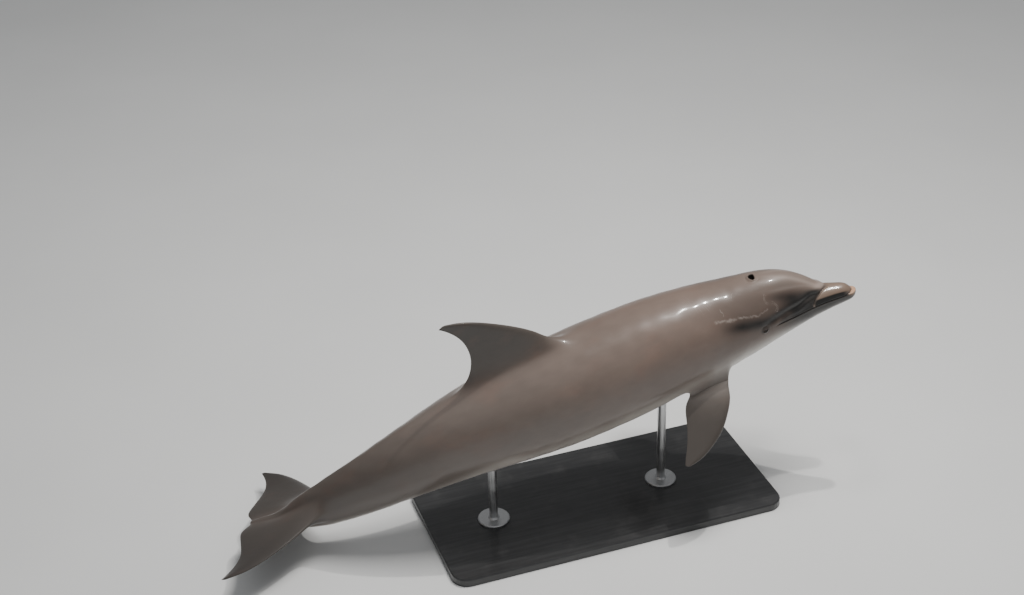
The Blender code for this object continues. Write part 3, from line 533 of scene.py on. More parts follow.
def in_plane(points, origin, along, across):
    """Points given in a plane, as points of the straight animal."""
    return [tuple(np.array(origin) + u * np.array(along) + v * np.array(across)) for u, v in points]


def fin_plans():
    """Each fin: its window, edges, thickness, facing, fillet, place on the flat map and side."""
    back, down = math.radians(FLIPPER_BACK), math.radians(FLIPPER_DOWN)
    out = np.array((0, math.cos(down), -math.sin(down)))
    span = np.array((math.sin(back), 0, 0)) + math.cos(back) * out
    forward = np.array((-math.cos(back), 0, 0)) + math.sin(back) * out
    dorsal = [smooth_path([(x, 0, z) for x, z in edge]) for edge in (DORSAL_LEAD, DORSAL_TRAIL)]
    flipper = [smooth_path(in_plane(edge, FLIPPER_ROOT, span, forward))
               for edge in (FLIPPER_LEAD, FLIPPER_TRAIL)]
    fluke = [smooth_path([(x, y, 0) for x, y in edge]) for edge in (FLUKE_LEAD, FLUKE_TRAIL)]
    right, upwards = np.array((0, -1, 0)), np.array((0, 0, 1))
    window = window_of(DORSAL_WINDOW, (-FIN_EDGE, FIN_EDGE))
    plans = [(window, *dorsal, DORSAL_THICK, right, DORSAL_FILLET, (0.02, 1.36), 1)]
    twins = ((FLIPPER_WINDOW, (FLIPPER_HIGH, FLIPPER_LOW), flipper, FLIPPER_THICK, np.cross(forward, span),
              (1.16, 1.80), 1.36),
             (FLUKE_WINDOW, (FLUKE_HIGH, FLUKE_LOW), fluke, FLUKE_THICK, upwards, (0.02, 1.00), 1.84))
    for places, angles, edges, thick, facing, corners, row in twins:
        for side, corner in zip((1, -1), corners):
            window = window_of(places, angles, side)
            plans.append((window, *edges, thick, facing, TWIN_FILLET, (corner, row), side))
    return plans


# ---- Eyelids and blowhole --------------------------------------------------------------------------------
EYE_WINDOW = ((EYE_ALONG - 0.034, EYE_ALONG + 0.034), 10.0)  # rings, and degrees each way from the eye
# Half the length of the opening, its height above and below the eye's middle, and the lids' thickness
LID_LONG, LID_HIGH, LID_LOW, LID_THICK = 0.0140, 0.0044, 0.0056, 0.0012
LID_SOFT = 0.0034  # how gently the lids' bulge runs out into the cheek
LID_TUCKS = ((0.0004, 0.30), (0.0009, 0.75))  # how far in the lids' edge turns, and how far of the way down
POCKET_GAP = 0.0003  # room between the eyeball and the skin behind it
BLOWHOLE_WINDOW = ((0.297, 0.366), (-FIN_EDGE, FIN_EDGE))
BLOWHOLE_WIDE, BLOWHOLE_LONG, BLOWHOLE_BEND, BLOWHOLE_DEEP = 0.033, 0.0205, 0.0045, 0.024
BLOWHOLE_LEAN = 0.25  # how far back the pit runs for each metre down
LID_LOOPS, POCKET_LOOPS, BLOWHOLE_LOOPS = 30, 9, 20  # loops of skin round an eye, behind it, round the hole
LOOP_CROWD = 0.85  # under 1 the loops lie wider apart near the rim, and closer at the hole
HEAD_RADIUS = 0.13  # about half the head's width at the eye


def eye_angle():
    """The angle round the body at which the skin passes the eye's level, found in small corrections."""
    angle = 90.0
    for _ in range(20):
        angle += math.degrees((skin_point(EYE_ALONG, angle)[2] - EYE_LEVEL) / HEAD_RADIUS)
    return angle


EYE_ANGLE = eye_angle()


def eye_axis(side=1):
    """The middle of the eyeball and the way it looks, in the straight animal."""
    point, normal, _ = skin_frame(np.array(EYE_ALONG), np.array(EYE_ANGLE))
    flip = np.array((1, side, 1))
    return (point - EYE_SUNK * normal) * flip, normal * flip


def eye_window(side):
    """The part of the body's grid that the skin round one eye takes up."""
    return window_of(EYE_WINDOW[0], (EYE_ANGLE - EYE_WINDOW[1], EYE_ANGLE + EYE_WINDOW[1]), side)


class Opening:
    """Loops of skin round a hole, from its window's rim to its outline.

    The loops are laid out flat round the hole's middle, in metres along and round the body. Each is a mix
    of the rim and the outline, and is then set on the body with its relief. gap is the distance from the
    outline, mix the share of the way to it, and turn each point's angle round the hole.
    """

    def __init__(self, body, window, middle, scale, outline, rows, side=1):
        i, j = rim_of(body[window].shape)
        ring, angle = PLACES[window[0]][i], side * ANGLES[window[1]][j]
        outer = np.stack([ring - middle[0], (angle - middle[1]) * scale], axis=-1)
        spread = np.abs(outer).max(axis=0)
        self.rim, self.middle, self.side = body[window][i, j], middle, side
        self.turn = np.arctan2(outer[:, 1] / spread[1], outer[:, 0] / spread[0])
        inner = outline(self.turn)
        self.mix = np.linspace(0, 1, rows + 1)[1:] ** LOOP_CROWD
        flat = outer + (inner - outer) * self.mix[:, None, None]
        self.gap = np.linalg.norm(flat - inner, axis=-1)
        self.ring, self.angle = middle[0] + flat[..., 0], middle[1] + flat[..., 1] / scale
        point, self.normal, local = skin_frame(self.ring, self.angle)
        self.point = point + self.normal * relief(self.ring, self.angle, local)[..., None]
        self.chart = flat_place(np.concatenate([ring[None], self.ring]),
                                side * np.concatenate([angle[None], self.angle]))

    def rise(self, height, fade):
        """Lifts the loops along the skin's normal, coming in over the first share of the way in."""
        self.point = self.point + self.normal * (height * eased(self.mix, 0.0, fade)[:, None])[..., None]

    def close(self, skin, loops, pole, deep, map_corner, edge, inside):
        """Adds the loops, those inside the hole and the pole that closes it, with each part's facts."""
        flip = np.array((1, self.side, 1))
        place = self.middle[0], self.side * self.middle[1]
        grid = skin.add_points(self.point * flip, self.ring, self.side * self.angle, **edge)
        pocket = skin.add_points(loops * flip, *place, **inside)
        end = skin.add_points(pole[None] * flip, *place, **inside)
        skin.add_strip(wrap(np.concatenate([self.rim[None], grid])), wrap(self.chart))
        pocket = wrap(np.concatenate([grid[-1:], pocket]))
        run, down = np.linspace(0, 0.09, pocket.shape[1]), np.linspace(0, deep, len(pocket))
        flat = paired(run[None, :], down[:, None]) + map_corner
        skin.add_strip(pocket, flat)
        skin.add_fan(pocket[-1], end[0], flat[-1], flat[-1].mean(axis=0) + (0, 0.1 * deep))


def almond(turn):
    """The slit between the lids, for an angle round it: two halves of long ovals with sharp ends."""
    sharp = np.abs(np.sin(turn)) ** 1.25 * np.sign(np.sin(turn))
    return np.stack([LID_LONG * np.cos(turn), np.where(sharp < 0, LID_HIGH, LID_LOW) * sharp], axis=-1)


def off_axis(points, centre, look):
    """Each point's height along a look from the centre, its way out from that axis and how far that is."""
    height = (points - centre) @ look
    aside = points - centre - height[..., None] * look
    return height, aside, np.linalg.norm(aside, axis=-1)


def grow_lids(skin, body, side, map_corner):
    """The skin round one eye, from a window's rim to the lids' edge and on behind the eyeball.

    The skin is lifted to stay a lid's thickness off the ball, with two soft folds above the opening and two
    below, rounds over the lids' edge and closes behind the ball.
    """
    scale = skin_frame(np.array(EYE_ALONG), np.array(EYE_ANGLE))[2]
    lids = Opening(body, eye_window(side), (EYE_ALONG, EYE_ANGLE), scale, almond, LID_LOOPS, side)
    centre, look = eye_axis()
    depth, _, reach = off_axis(lids.point, centre, look)
    lift = np.sqrt(((EYE_RADIUS + LID_THICK) ** 2 - reach**2).clip(0)) - depth
    lift = (lift + np.sqrt(lift**2 + LID_SOFT**2)) / 2
    above, below = np.sin(lids.turn).clip(-1, 0) ** 2, np.sin(lids.turn).clip(0, 1) ** 2
    fold = 0.0005 * hump(lids.gap, 0.0018, 0.0013)
    fold -= (0.0013 * above + 0.0004 * below) * hump(lids.gap, 0.0050, 0.0017)
    fold -= (0.0005 * above * hump(lids.gap, 0.0112, 0.0024)
             + 0.0006 * below * hump(lids.gap, 0.0086, 0.0030))
    lids.rise(lift + fold, 0.35)

    # over the edge of the lids and back along the ball, as directions from its middle
    height, aside, reach = off_axis(lids.point[-1], centre, look)
    outward = aside / reach[:, None]
    ball = EYE_RADIUS + POCKET_GAP
    loops = []
    for inward, sink in LID_TUCKS:
        near = reach - inward
        on_ball = np.sqrt((ball**2 - near**2).clip(1e-8))
        ahead = height + (on_ball - height) * sink
        loops.append(centre + outward * near[:, None] + look * ahead[:, None])
    start = np.arcsin(((reach - LID_TUCKS[-1][0]) / ball).clip(0, 1))
    for share in np.arange(POCKET_LOOPS) / POCKET_LOOPS:
        polar = (start + (math.pi - start) * share)[:, None]
        loops.append(centre + ball * (outward * np.sin(polar) + look * np.cos(polar)))
    # lid: darker towards the opening; behind the ball, lid and pit give painted shade in the pocket
    lids.close(skin, np.array(loops), centre - ball * look, 0.05, map_corner,
               {"lid": eased(lids.gap, 0.017, 0.0)}, {"lid": 1.0, "pit": 1.0})


def crescent(turn):
    """The blowhole's outline for an angle round it: a rounded slot whose ends bend forwards."""
    across = BLOWHOLE_WIDE / 2 * np.sin(turn)
    bend = BLOWHOLE_BEND * (0.5 - np.sin(turn) ** 2)
    return np.stack([bend + BLOWHOLE_LONG / 2 * np.cos(turn), across], axis=-1)


def grow_blowhole(skin, body, map_corner):
    """The blowhole, from its window's rim over a raised lip and down into a closed pit."""
    scale = skin_frame(np.array(BLOWHOLE_ALONG), np.array(0.5))[2]
    window = window_of(*BLOWHOLE_WINDOW)
    hole = Opening(body, window, (BLOWHOLE_ALONG, 0.0), scale, crescent, BLOWHOLE_LOOPS)
    lip = (0.0021 + 0.0014 * np.cos(hole.turn)) * hump(hole.gap, 0.0044, 0.0046)
    hole.rise(lip - 0.0012 * hump(hole.gap, 0.016, 0.006), 0.3)
    hole.point = hole.point - hole.normal * 0.0010 * hump(hole.gap, 0.0, 0.0012)[..., None]
    edge = hole.point[-1]
    centre = edge.mean(axis=0)
    down = BLOWHOLE_DEEP * np.array((BLOWHOLE_LEAN, 0, -1.0)) / math.hypot(BLOWHOLE_LEAN, 1.0)
    sink = np.linspace(0, 1, 11)[1:-1, None, None]
    shrink = np.sqrt(1 - (0.93 * sink) ** 2) * (1 - 0.25 * sink)
    loops = centre + (edge - centre) * shrink + down * sink**0.8
    # pit: painted shade at the blowhole's edge and down inside it
    hole.close(skin, loops, centre + down, 0.03, map_corner,
               {"pit": 0.9 * hump(hole.gap, 0.0, 0.0022)}, {"pit": 1.0})


# ---- The whole skin --------------------------------------------------------------------------------------
UPPER_SHORT = 0.013  # the upper jaw ends this far behind the lower
KEEL_TRIM = 0.38  # share of its height that the tail loses next to the notch
ROOT_ROUNDS, TAIL_ROUNDS = 64, 10  # rounds of smoothing at the fins' roots and the tail's end
SPREAD_ROUNDS, SMOOTH_STEP = 8, 0.6  # rounds in which the smoothing's weight spreads, and size of its step


def body_grid(skin):
    """The body's own loft with its relief, its upper jaw a little short and the keel low at the notch."""
    ring, angle = np.meshgrid(PLACES, ANGLES, indexing="ij")
    point, normal, scale = skin_frame(ring, angle)
    point = point + normal * relief(ring, angle, scale)[..., None]
    turn = np.abs(angle)
    upper = eased((turn - MOUTH_SEAM) * scale, 0.0, -LIP_LEDGE) * (1 - eased(ring, 0.004, 0.044))
    point[..., 0] += UPPER_SHORT * upper
    point[..., 2] *= 1 - KEEL_TRIM * eased(ring, 2.17, 2.32)
    return skin.add_points(point, ring, angle)


def smoothed(points, faces, weight, rounds):
    """The points after rounds of moving each towards the mean of its neighbours, by a weight.

    The weight first spreads to the neighbours in a few rounds, so that it fades into what lies round it.
    """
    pairs = [np.stack([block, np.roll(block, -1, axis=1)], axis=-1).reshape(-1, 2) for block in faces]
    edges = np.unique(np.sort(np.concatenate(pairs), axis=1), axis=0)
    ends, others = np.concatenate([edges, edges[:, ::-1]]).T
    degree = np.bincount(ends, minlength=len(points)).clip(1)

    def mean(values):
        return np.bincount(ends, values[others], len(points)) / degree

    for _ in range(SPREAD_ROUNDS):
        weight = np.maximum(weight, mean(weight))
    for _ in range(rounds):
        around = np.stack([mean(axis) for axis in points.T], axis=-1)
        points = points + weight[:, None] * SMOOTH_STEP * (around - points)
    return points


def build_skin():
    """Body, fins, lids and blowhole in one surface, as points, facts, faces and flat map."""
    skin = Skin()
    body = body_grid(skin)
    fins = fin_plans()
    windows = [plan[0] for plan in fins] + [eye_window(1), eye_window(-1), window_of(*BLOWHOLE_WINDOW)]
    keep = np.ones((len(PLACES) - 1, len(ANGLES)), bool)
    for rows, cols in windows:
        keep[rows.start : rows.stop - 1, cols.start : cols.stop - 1] = False
    flat = flat_place(PLACES[:, None], np.append(ANGLES, KEEL_SEAM)[None, :])
    wrapped = wrap(body)
    skin.add_strip(wrapped, flat, keep)
    tip = skin.add_points(skin_point(0.0, 0.0)[None], 0.0, 0.0)
    end = skin.add_points(np.array([(TAIL_END + 0.004, 0.0, 0.0)]), TAIL_END, 0.0)
    skin.add_fan(wrapped[0], tip[0], flat[0], np.array((-0.004, MAP_MIDDLE)))
    skin.add_fan(wrapped[-1], end[0], flat[-1], np.array((TAIL_END + 0.006, MAP_MIDDLE)))
    roots = []
    for window, *shape, corner, side in fins:
        index = grow_fin(skin, body, window, *shape, np.array(corner), side)
        roots.append(index[: FILLET_ROWS - 2, :-1].ravel())
    for side, row in ((1, 1.40), (-1, 1.48)):
        grow_lids(skin, body, side, np.array((2.3, row)))
    grow_blowhole(skin, body, np.array((2.3, 1.56)))

    points, facts = np.concatenate(skin.points), np.concatenate(skin.facts)
    root = np.zeros(len(points))
    root[np.concatenate(roots)] = 1.0
    tail = eased(facts[:, 0], 2.30, 2.37) * (1 - eased(facts[:, 2], 0.02, 0.30))
    for weight, rounds in ((root, ROOT_ROUNDS), (tail, TAIL_ROUNDS)):
        points = smoothed(points, skin.faces, weight, rounds)
    return points, facts, skin.faces, skin.flats


def put_mesh(name, points, faces, flats=None, attributes=None, map_size=1.0):
    """A mesh object from blocks of faces and their flat coordinates, without points that no face uses."""
    used = np.zeros(len(points), bool)
    for block in faces:
        used[block.ravel()] = True
    number = np.cumsum(used) - 1
    lists = [face for block in faces for face in number[block].tolist()]
    mesh = bpy.data.meshes.new(name)
    mesh.from_pydata(points[used].tolist(), [], lists)
    if flats is not None:
        layer = mesh.uv_layers.new(name="OFBake")
        places = np.concatenate([block.reshape(-1, 2) for block in flats]) / map_size
        layer.data.foreach_set("uv", places.astype(np.float32).ravel())
    for key, values in (attributes or {}).items():
        kind = "FLOAT_VECTOR" if values.ndim == 2 else "FLOAT"
        store = mesh.attributes.new(key, kind, "POINT")
        field = "vector" if values.ndim == 2 else "value"
        store.data.foreach_set(field, values[used].astype(np.float32).ravel())
    mesh.shade_smooth()
    piece = bpy.data.objects.new(name, mesh)
    bpy.context.scene.collection.objects.link(piece)
    return piece


def face_out(piece):
    """Turns a closed mesh's faces outwards."""
    shell = bmesh.new()
    shell.from_mesh(piece.data)
    bmesh.ops.recalc_face_normals(shell, faces=shell.faces[:])
    if shell.calc_volume(signed=True) < 0:
        bmesh.ops.reverse_faces(shell, faces=shell.faces[:])
    shell.to_mesh(piece.data)
    shell.free()


# ---- Markings and painted shade of the skin --------------------------------------------------------------
def markings_and_painted_shade(points, facts):
    """The skin's markings at each point, from 0 to 1, and the two places that its patterns are drawn on.

    back, belly: the dark cape, with the brown of the face, and the pale belly, by the angle round the body,
    with the cape's edge lower at the shoulder and from the dorsal fin back. fin: how far out a fin. fold:
    painted shade in the mouth's line, the crease, the blowhole and behind each eyeball, and the dark round
    the lids. mask_and_painted_shade: painted shade on the face below the melon, on the cheek, the upper lip
    and the lower jaw, with the dark eye patch, and a weaker painted shade on the head's side; darker towards
    the tail and at the fins' tips. pale: the light streaks over the melon and behind its crease. beak, tan:
    the brown of the beak's top and the pale tip of the lower lip. straight: the place in the straight animal.
    chart: along the body and round it, in metres.
    """
    ring, angle, fin, lid, pit = facts.T
    turn = np.abs(angle)
    scale = half_girth(ring) / 180
    on_body = 1 - fin.clip(0, 1)
    dip = 16 * eased(ring, 1.2, 1.7) + 10 * hump(ring, 0.55, 0.18)
    back = (1 - eased(turn, 44 + dip, 90 + dip)) * eased(ring, 0.14, 0.50)
    back = np.maximum(back, within(turn, 22, 42, 90, 106) * within(ring, 0.12, 0.20, 0.46, 0.60))
    belly_high = 96 + 4 * eased(ring, 0.35, 0.9) + 26 * eased(ring, 1.3, 2.0)
    belly = eased(turn, belly_high - 14, belly_high + 44) * on_body * eased(ring, -0.01, 0.05)
    off_lips = (turn - MOUTH_SEAM) * scale
    # fold: painted shade in the mouth's line, the crease, the blowhole and behind the eyeballs; dark round the
    # lids
    lips = mouth_shade(ring, (off_lips + lip_line(ring)) * 0.7 - lip_line(ring))
    crease = crease_shade(ring, turn) * (0.30 + 0.45 * eased(turn, 18, 36))
    fold = np.max([lips, crease, 0.70 * lid, pit], axis=0)

    behind = ring - CREASE(turn)
    above_lips = 1 - eased(off_lips, 0.0, 0.004)
    # Painted shade on the face below the melon's margin, in front of the eye
    painted_face_shade = eased(turn, FACE_EDGE(ring) - 9, FACE_EDGE(ring) + 9) * (1 - eased(ring, 0.22, 0.34))
    painted_face_shade *= 1 - 0.85 * hump(turn, 59, 10) * eased(ring, 0.18, 0.28)
    painted_face_shade *= 1 - eased(turn, 66, 80) * eased(ring, 0.18, 0.26)
    # band: the dark eye patch over the eye, deepened with painted shade
    band = hump(turn, FACE_BAND(ring), 8.5) * within(ring, 0.15, 0.20, 0.43, 0.56)
    # cheek: painted shade above the mouth, in front of its corner
    cheek = 0.78 * eased(turn, 68, 80) * (1 - eased(ring, 0.23, 0.30))
    face = np.max([painted_face_shade, band, cheek], axis=0) * eased(behind, -0.001, 0.006) * (1 - eased(turn, 86, 104))
    # upper_lip: painted shade along the upper jaw's side, over its darker skin; lower_jaw: painted shade on
    # the lower jaw
    upper_lip = eased(turn, 51, 60) * above_lips * within(ring, 0.004, 0.034, 0.094, 0.106)
    lower_jaw = eased(off_lips, 0.0, 0.004) * (1 - eased(turn, 120, 168)) * (1 - eased(ring, 0.13, 0.34))
    mask_and_painted_shade = np.max([0.95 * face, upper_lip, 0.93 * lower_jaw], axis=0) * on_body
    # side: a weaker painted shade on the head's side; rear and the fins' tips: darker towards the tail and at
    # the tips
    side = 0.30 * within(turn, 10, 28, 64, 100) * within(ring, 0.10, 0.14, 0.44, 0.62)
    rear = 0.40 * eased(ring, 1.45, 2.12) * (1 - 0.6 * eased(turn, 96, 150) * on_body)
    mask_and_painted_shade = 1 - (1 - mask_and_painted_shade) * (1 - side * on_body) * (1 - rear) * (1 - 0.28 * eased(fin, 0.30, 0.95))
    pale = hump(turn, STREAK(ring), 4.5) + 0.9 * hump(turn, LOW_STREAK(ring), 3.2) * eased(ring, 0.11, 0.14)
    pale *= eased(behind, 0.006, 0.014) * (1 - eased(ring, 0.22, 0.34))
    pale += 0.8 * within(behind, 0.005, 0.011, 0.018, 0.036) * (1 - eased(turn, 14, 26))
    beak = (1 - eased(behind, -0.006, 0.003)) * (1 - eased(turn, 56, 66))
    ledge = eased(off_lips, -LIP_LEDGE, -0.7 * LIP_LEDGE)
    tan = (1 - eased(ring, 0.006, 0.024)) * ledge * (1 - eased(turn, 94, 128))
    chart = np.stack([ring, angle * scale, np.zeros_like(ring)], axis=-1)
    return {"back": back, "belly": belly, "fin": fin, "fold": fold.clip(0, 1), "mask_and_painted_shade": mask_and_painted_shade.clip(0, 1),
            "pale": pale.clip(0, 1), "beak": beak, "tan": tan, "straight": points, "chart": chart}


# ---- Laying out materials --------------------------------------------------------------------------------
def node(tree, kind, inputs=None, **settings):
    """A new node with its settings, and its inputs linked or set."""
    made = tree.nodes.new(kind)
    for key, value in settings.items():
        setattr(made, key, value)
    for key, value in (inputs or {}).items():
        if isinstance(value, Value):
            tree.links.new(value.socket, made.inputs[key])
        else:
            made.inputs[key].default_value = value
    return made


class Value:
    """One output of a node. A sum written with it becomes a maths node in its tree."""

    def __init__(self, made, output=0):
        self.tree, self.socket = made.id_data, made.outputs[output]

    def maths(self, operation, *others, clamp=False):
        """One sum, of this value and others."""
        inputs = dict(enumerate((self, *others)))
        return Value(node(self.tree, "ShaderNodeMath", inputs, operation=operation, use_clamp=clamp))

    def __add__(self, other):
        return self.maths("ADD", other)

    def __sub__(self, other):
        return self.maths("SUBTRACT", other)

    def __rsub__(self, other):
        return Value(node(self.tree, "ShaderNodeMath", {0: other, 1: self}, operation="SUBTRACT"))

    def __mul__(self, other):
        return self.maths("MULTIPLY", other)

    def __truediv__(self, other):
        return self.maths("DIVIDE", other)

    def __abs__(self):
        return self.maths("ABSOLUTE")

    def ranged(self, begin, end, low=0.0, high=1.0):
        """low before begin, high after end, smooth between them."""
        inputs = {"Value": self, "From Min": begin, "From Max": end, "To Min": low, "To Max": high}
        return Value(node(self.tree, "ShaderNodeMapRange", inputs, interpolation_type="SMOOTHSTEP"))

    def noise(self, scale, detail=2.0, rough=0.5, stretch=None):
        """Cloudy noise between 0 and 1 on this place, which may be stretched first."""
        place = self
        if stretch:
            place = Value(node(self.tree, "ShaderNodeMapping", {"Vector": self, "Scale": stretch}))
        inputs = {"Vector": place, "Scale": scale, "Detail": detail, "Roughness": rough}
        return Value(node(self.tree, "ShaderNodeTexNoise", inputs))

    def parts(self):
        """The three numbers of this place."""
        split = node(self.tree, "ShaderNodeSeparateXYZ", {"Vector": self})
        return [Value(split, axis) for axis in range(3)]


def mixed(factor, first, second, blend="MIX"):
    """The second colour over the first, by a factor. At least one of the three is a Value."""
    tree = next(value.tree for value in (factor, first, second) if isinstance(value, Value))
    under, over = (value if isinstance(value, Value) else (*value, 1) for value in (first, second))
    inputs = {0: factor, 6: under, 7: over}
    return Value(node(tree, "ShaderNodeMix", inputs, data_type="RGBA", blend_type=blend), 2)


def shaded(colour, value, blue=None):
    """The colour times a value, with its blue times another where one is given."""
    channels = {0: value, 1: value, 2: blue or value}
    return mixed(1.0, colour, Value(node(value.tree, "ShaderNodeCombineColor", channels)), "MULTIPLY")


def distance(first, second):
    """The length of the two sides' hypotenuse."""
    return (first * first + second * second).maths("SQRT")


def attribute(surface, name, output="Fac"):
    """A stored number, or with output Vector a stored place, of the mesh."""
    tree = surface.id_data
    return Value(node(tree, "ShaderNodeAttribute", attribute_type="GEOMETRY", attribute_name=name), output)


def object_place(surface):
    """The place in the object's own coordinates."""
    return Value(node(surface.id_data, "ShaderNodeTexCoord"), "Object")


def new_material(name, roughness, metallic=0.0, coat=0.0, coat_roughness=0.1, specular=0.5):
    """An empty material and its surface shader."""
    material = bpy.data.materials.new(name)
    material.use_nodes = True
    surface = material.node_tree.nodes["Principled BSDF"]
    constants = {"Roughness": roughness, "Metallic": metallic, "Coat Weight": coat,
                 "Coat Roughness": coat_roughness, "Specular IOR Level": specular}
    for key, value in constants.items():
        surface.inputs[key].default_value = value
    return material, surface


def dress(surface, colour, rough=None, height=None, strength=0.0, deep=0.0):
    """Links a surface's colour and, where they are given, its roughness and a bump from a height."""
    wanted = {"Base Color": colour, "Roughness": rough}
    if height:
        bump = {"Height": height, "Strength": strength, "Distance": deep}
        wanted["Normal"] = Value(node(colour.tree, "ShaderNodeBump", bump))
    for key, value in wanted.items():
        if value:
            colour.tree.links.new(value.socket, surface.inputs[key])


def local_place(chart, where, turned):
    """A flat place moved to a mark's middle and turned along it, as values along and across."""
    inputs = {"Vector": chart, "Location": (*where, 0), "Rotation": (0, 0, math.radians(turned))}
    return Value(node(chart.tree, "ShaderNodeMapping", inputs, vector_type="TEXTURE")).parts()[:2]


def rake_mark(chart, wobble, where, turned, count, gap, length, width=0.0013):
    """Thin parallel lines a gap apart, each shifted along and faded by its own chance: 1 on them, 0 off."""
    along, across = local_place(chart, where, turned)
    across = across + wobble
    lane = across / gap + 0.5 * (count % 2)
    number = {"W": lane.maths("FLOOR")}
    chance = Value(node(chart.tree, "ShaderNodeTexWhiteNoise", number, noise_dimensions="1D"))
    along = along + (chance - 0.5) * (0.55 * length)
    off = abs(lane.maths("FRACT") - 0.5) * gap
    line = off.ranged(width, 0.1 * width) * chance.ranged(0.0, 1.0, 0.35, 1.0)
    ends = abs(along).ranged(length / 2, length / 5)
    return line * ends * abs(across).ranged(gap * count / 2 + width, gap * count / 2 - width)


def arc_mark(chart, wobble, where, turned, radius, spread, width=0.0024):
    """A thin arc of a circle round a middle, open by a spread in degrees each way of its direction."""
    along, across = local_place(chart, where, turned)
    off = abs(distance(along, across) + wobble - radius)
    turn = abs(across.maths("ARCTAN2", along))
    return off.ranged(width, 0.0) * turn.ranged(math.radians(spread), math.radians(0.6 * spread))


def stroke_mark(chart, wobble, where, turned, length, width):
    """One winding line that fades at both ends."""
    along, across = local_place(chart, where, turned)
    return abs(across + wobble).ranged(width, 0.0) * abs(along).ranged(length / 2, length / 2.6)


def strongest(marks):
    """The largest of several values."""
    most = marks[0]
    for mark in marks[1:]:
        most = most.maths("MAXIMUM", mark)
    return most


# Old scars: place along and round the body, the way they run in degrees, number of lines, gap and length
RAKES = (((0.601, -0.066), 78, 6, 0.0068, 0.088), ((0.553, -0.086), 73, 3, 0.0088, 0.066),
         ((0.980, 0.240), 140, 3, 0.0105, 0.120), ((1.450, 0.190), 20, 3, 0.0085, 0.110))
# Curls of an old scratch on the head's right side: middle, direction, radius and spread
CURLS = (((0.293, -0.103), -10, 0.0135, 95), ((0.293, -0.103), -10, 0.0195, 85),
         ((0.274, -0.131), 170, 0.0125, 135), ((0.274, -0.131), 170, 0.0185, 120))
# Winding scratches: middle, direction, length and half width
STROKES = (((0.329, -0.146), -20, 0.060, 0.0040), ((0.400, -0.1545), 2, 0.110, 0.0060),
           ((0.500, -0.1550), 2, 0.104, 0.0085), ((0.437, -0.068), 110, 0.022, 0.0026),
           ((0.501, -0.123), 84, 0.034, 0.0022), ((0.745, 0.150), 8, 0.120, 0.0040),
           ((1.33, 0.235), -12, 0.150, 0.0036))


def scars(straight, chart):
    """Rakes, scratches and curls together, each broken up by noise, from 0 to 1."""
    wobble = (straight.noise(60.0, 1.0) - 0.5) * 0.003
    winding = (straight.noise(75.0) - 0.5) * 0.015
    marks = [rake_mark(chart, wobble, *rake) for rake in RAKES]
    marks += [stroke_mark(chart, winding, *stroke) for stroke in STROKES]
    curls = [arc_mark(chart, winding, *curl) for curl in CURLS]
    broken = straight.noise(90.0, 4.0, 0.7).ranged(0.34, 0.60, 0.12, 0.9)
    faint = straight.noise(60.0, 3.0, 0.6).ranged(0.36, 0.60, 0.15, 0.68)
    return (strongest(marks) * broken).maths("MAXIMUM", strongest(curls) * faint)


def specks(straight):
    """A few small round dots, from 0 to 1: some of the cells of a cell pattern have one at their middle."""
    inputs = {"Vector": straight, "Scale": 62.0, "Randomness": 1.0}
    cells = node(straight.tree, "ShaderNodeTexVoronoi", inputs)
    chance = Value(node(straight.tree, "ShaderNodeSeparateColor", {0: Value(cells, "Color")}))
    return Value(cells, "Distance").ranged(0.13, 0.05) * chance.ranged(0.90, 0.93)


def layered(colour, layers):
    """The colour with each layer's colour over it in turn, by that layer's amount."""
    for amount, over in layers:
        colour = mixed(amount, colour, over)
    return colour


def skin_material(settings):
    """Wet skin: grey-brown flanks, darker cape and fins, pale belly, scars, specks and fine grain."""
    material, surface = new_material("wet_skin", 0.36, coat=0.40, coat_roughness=0.09, specular=0.38)
    straight, chart = attribute(surface, "straight", "Vector"), attribute(surface, "chart", "Vector")
    names = ("back", "belly", "fin", "fold", "mask_and_painted_shade", "pale", "beak", "tan")
    fact = {name: attribute(surface, name) for name in names}

    cloud = straight.noise(5.0, 4.0, 0.6, (0.55, 1, 1))
    mottle = straight.noise(34.0, 5.0, 0.65, (0.5, 1, 1))
    edge = (cloud - 0.5) * 0.55
    back = fact["back"].maths("ADD", edge * fact["back"], clamp=True)
    belly = (fact["belly"] + edge).ranged(0.12, 0.88)
    blush = straight.noise(10.0, 4.0, 0.62, (0.6, 1, 1)).ranged(0.50, 0.72, 0.0, 0.22) * (1.0 - belly)
    colour = layered(mixed(back, settings.flank_colour, settings.back_colour), (
        (chart.parts()[0].ranged(0.55, 1.7, 0.0, 0.45), settings.rear_colour),
        (belly, settings.belly_colour),
        (fact["fin"].ranged(0.05, 0.65), settings.fin_colour),
        (fact["beak"] * 0.75, settings.beak_colour),
        (fact["pale"] * 0.55, settings.pale_colour),
        (blush, settings.blush_colour),
    ))
    light = cloud.ranged(0.28, 0.74, 0.91, 1.07)
    colour = shaded(colour, light, light * 0.985)
    colour = shaded(colour, mottle.ranged(0.28, 0.74, 0.96, 1.035))

    scar = scars(straight, chart)
    mask_and_painted_shade = fact["mask_and_painted_shade"].maths("ADD", (mottle - 0.5) * 0.30 * fact["mask_and_painted_shade"], clamp=True)
    # Painted shade of the face and in the folds goes on here; the specks share the folds' colour
    colour = layered(colour, (
        (specks(straight) * 0.07, settings.speck_and_painted_shade_colour),
        (mask_and_painted_shade, settings.mask_and_painted_shade_colour),
        (scar * 0.36, settings.scar_colour),
        (fact["fold"], settings.speck_and_painted_shade_colour),
        (fact["tan"] * 0.9, settings.lip_colour),
    ))
    grain = straight.noise(420.0, 2.0, 0.6, (0.35, 1, 1))
    rough = mottle.ranged(0.3, 0.7, 0.32, 0.38) + scar * 0.12
    dress(surface, colour, rough, mottle * 0.22 + grain * 0.10 - scar * 0.25, 0.35, 0.0014)
    return material


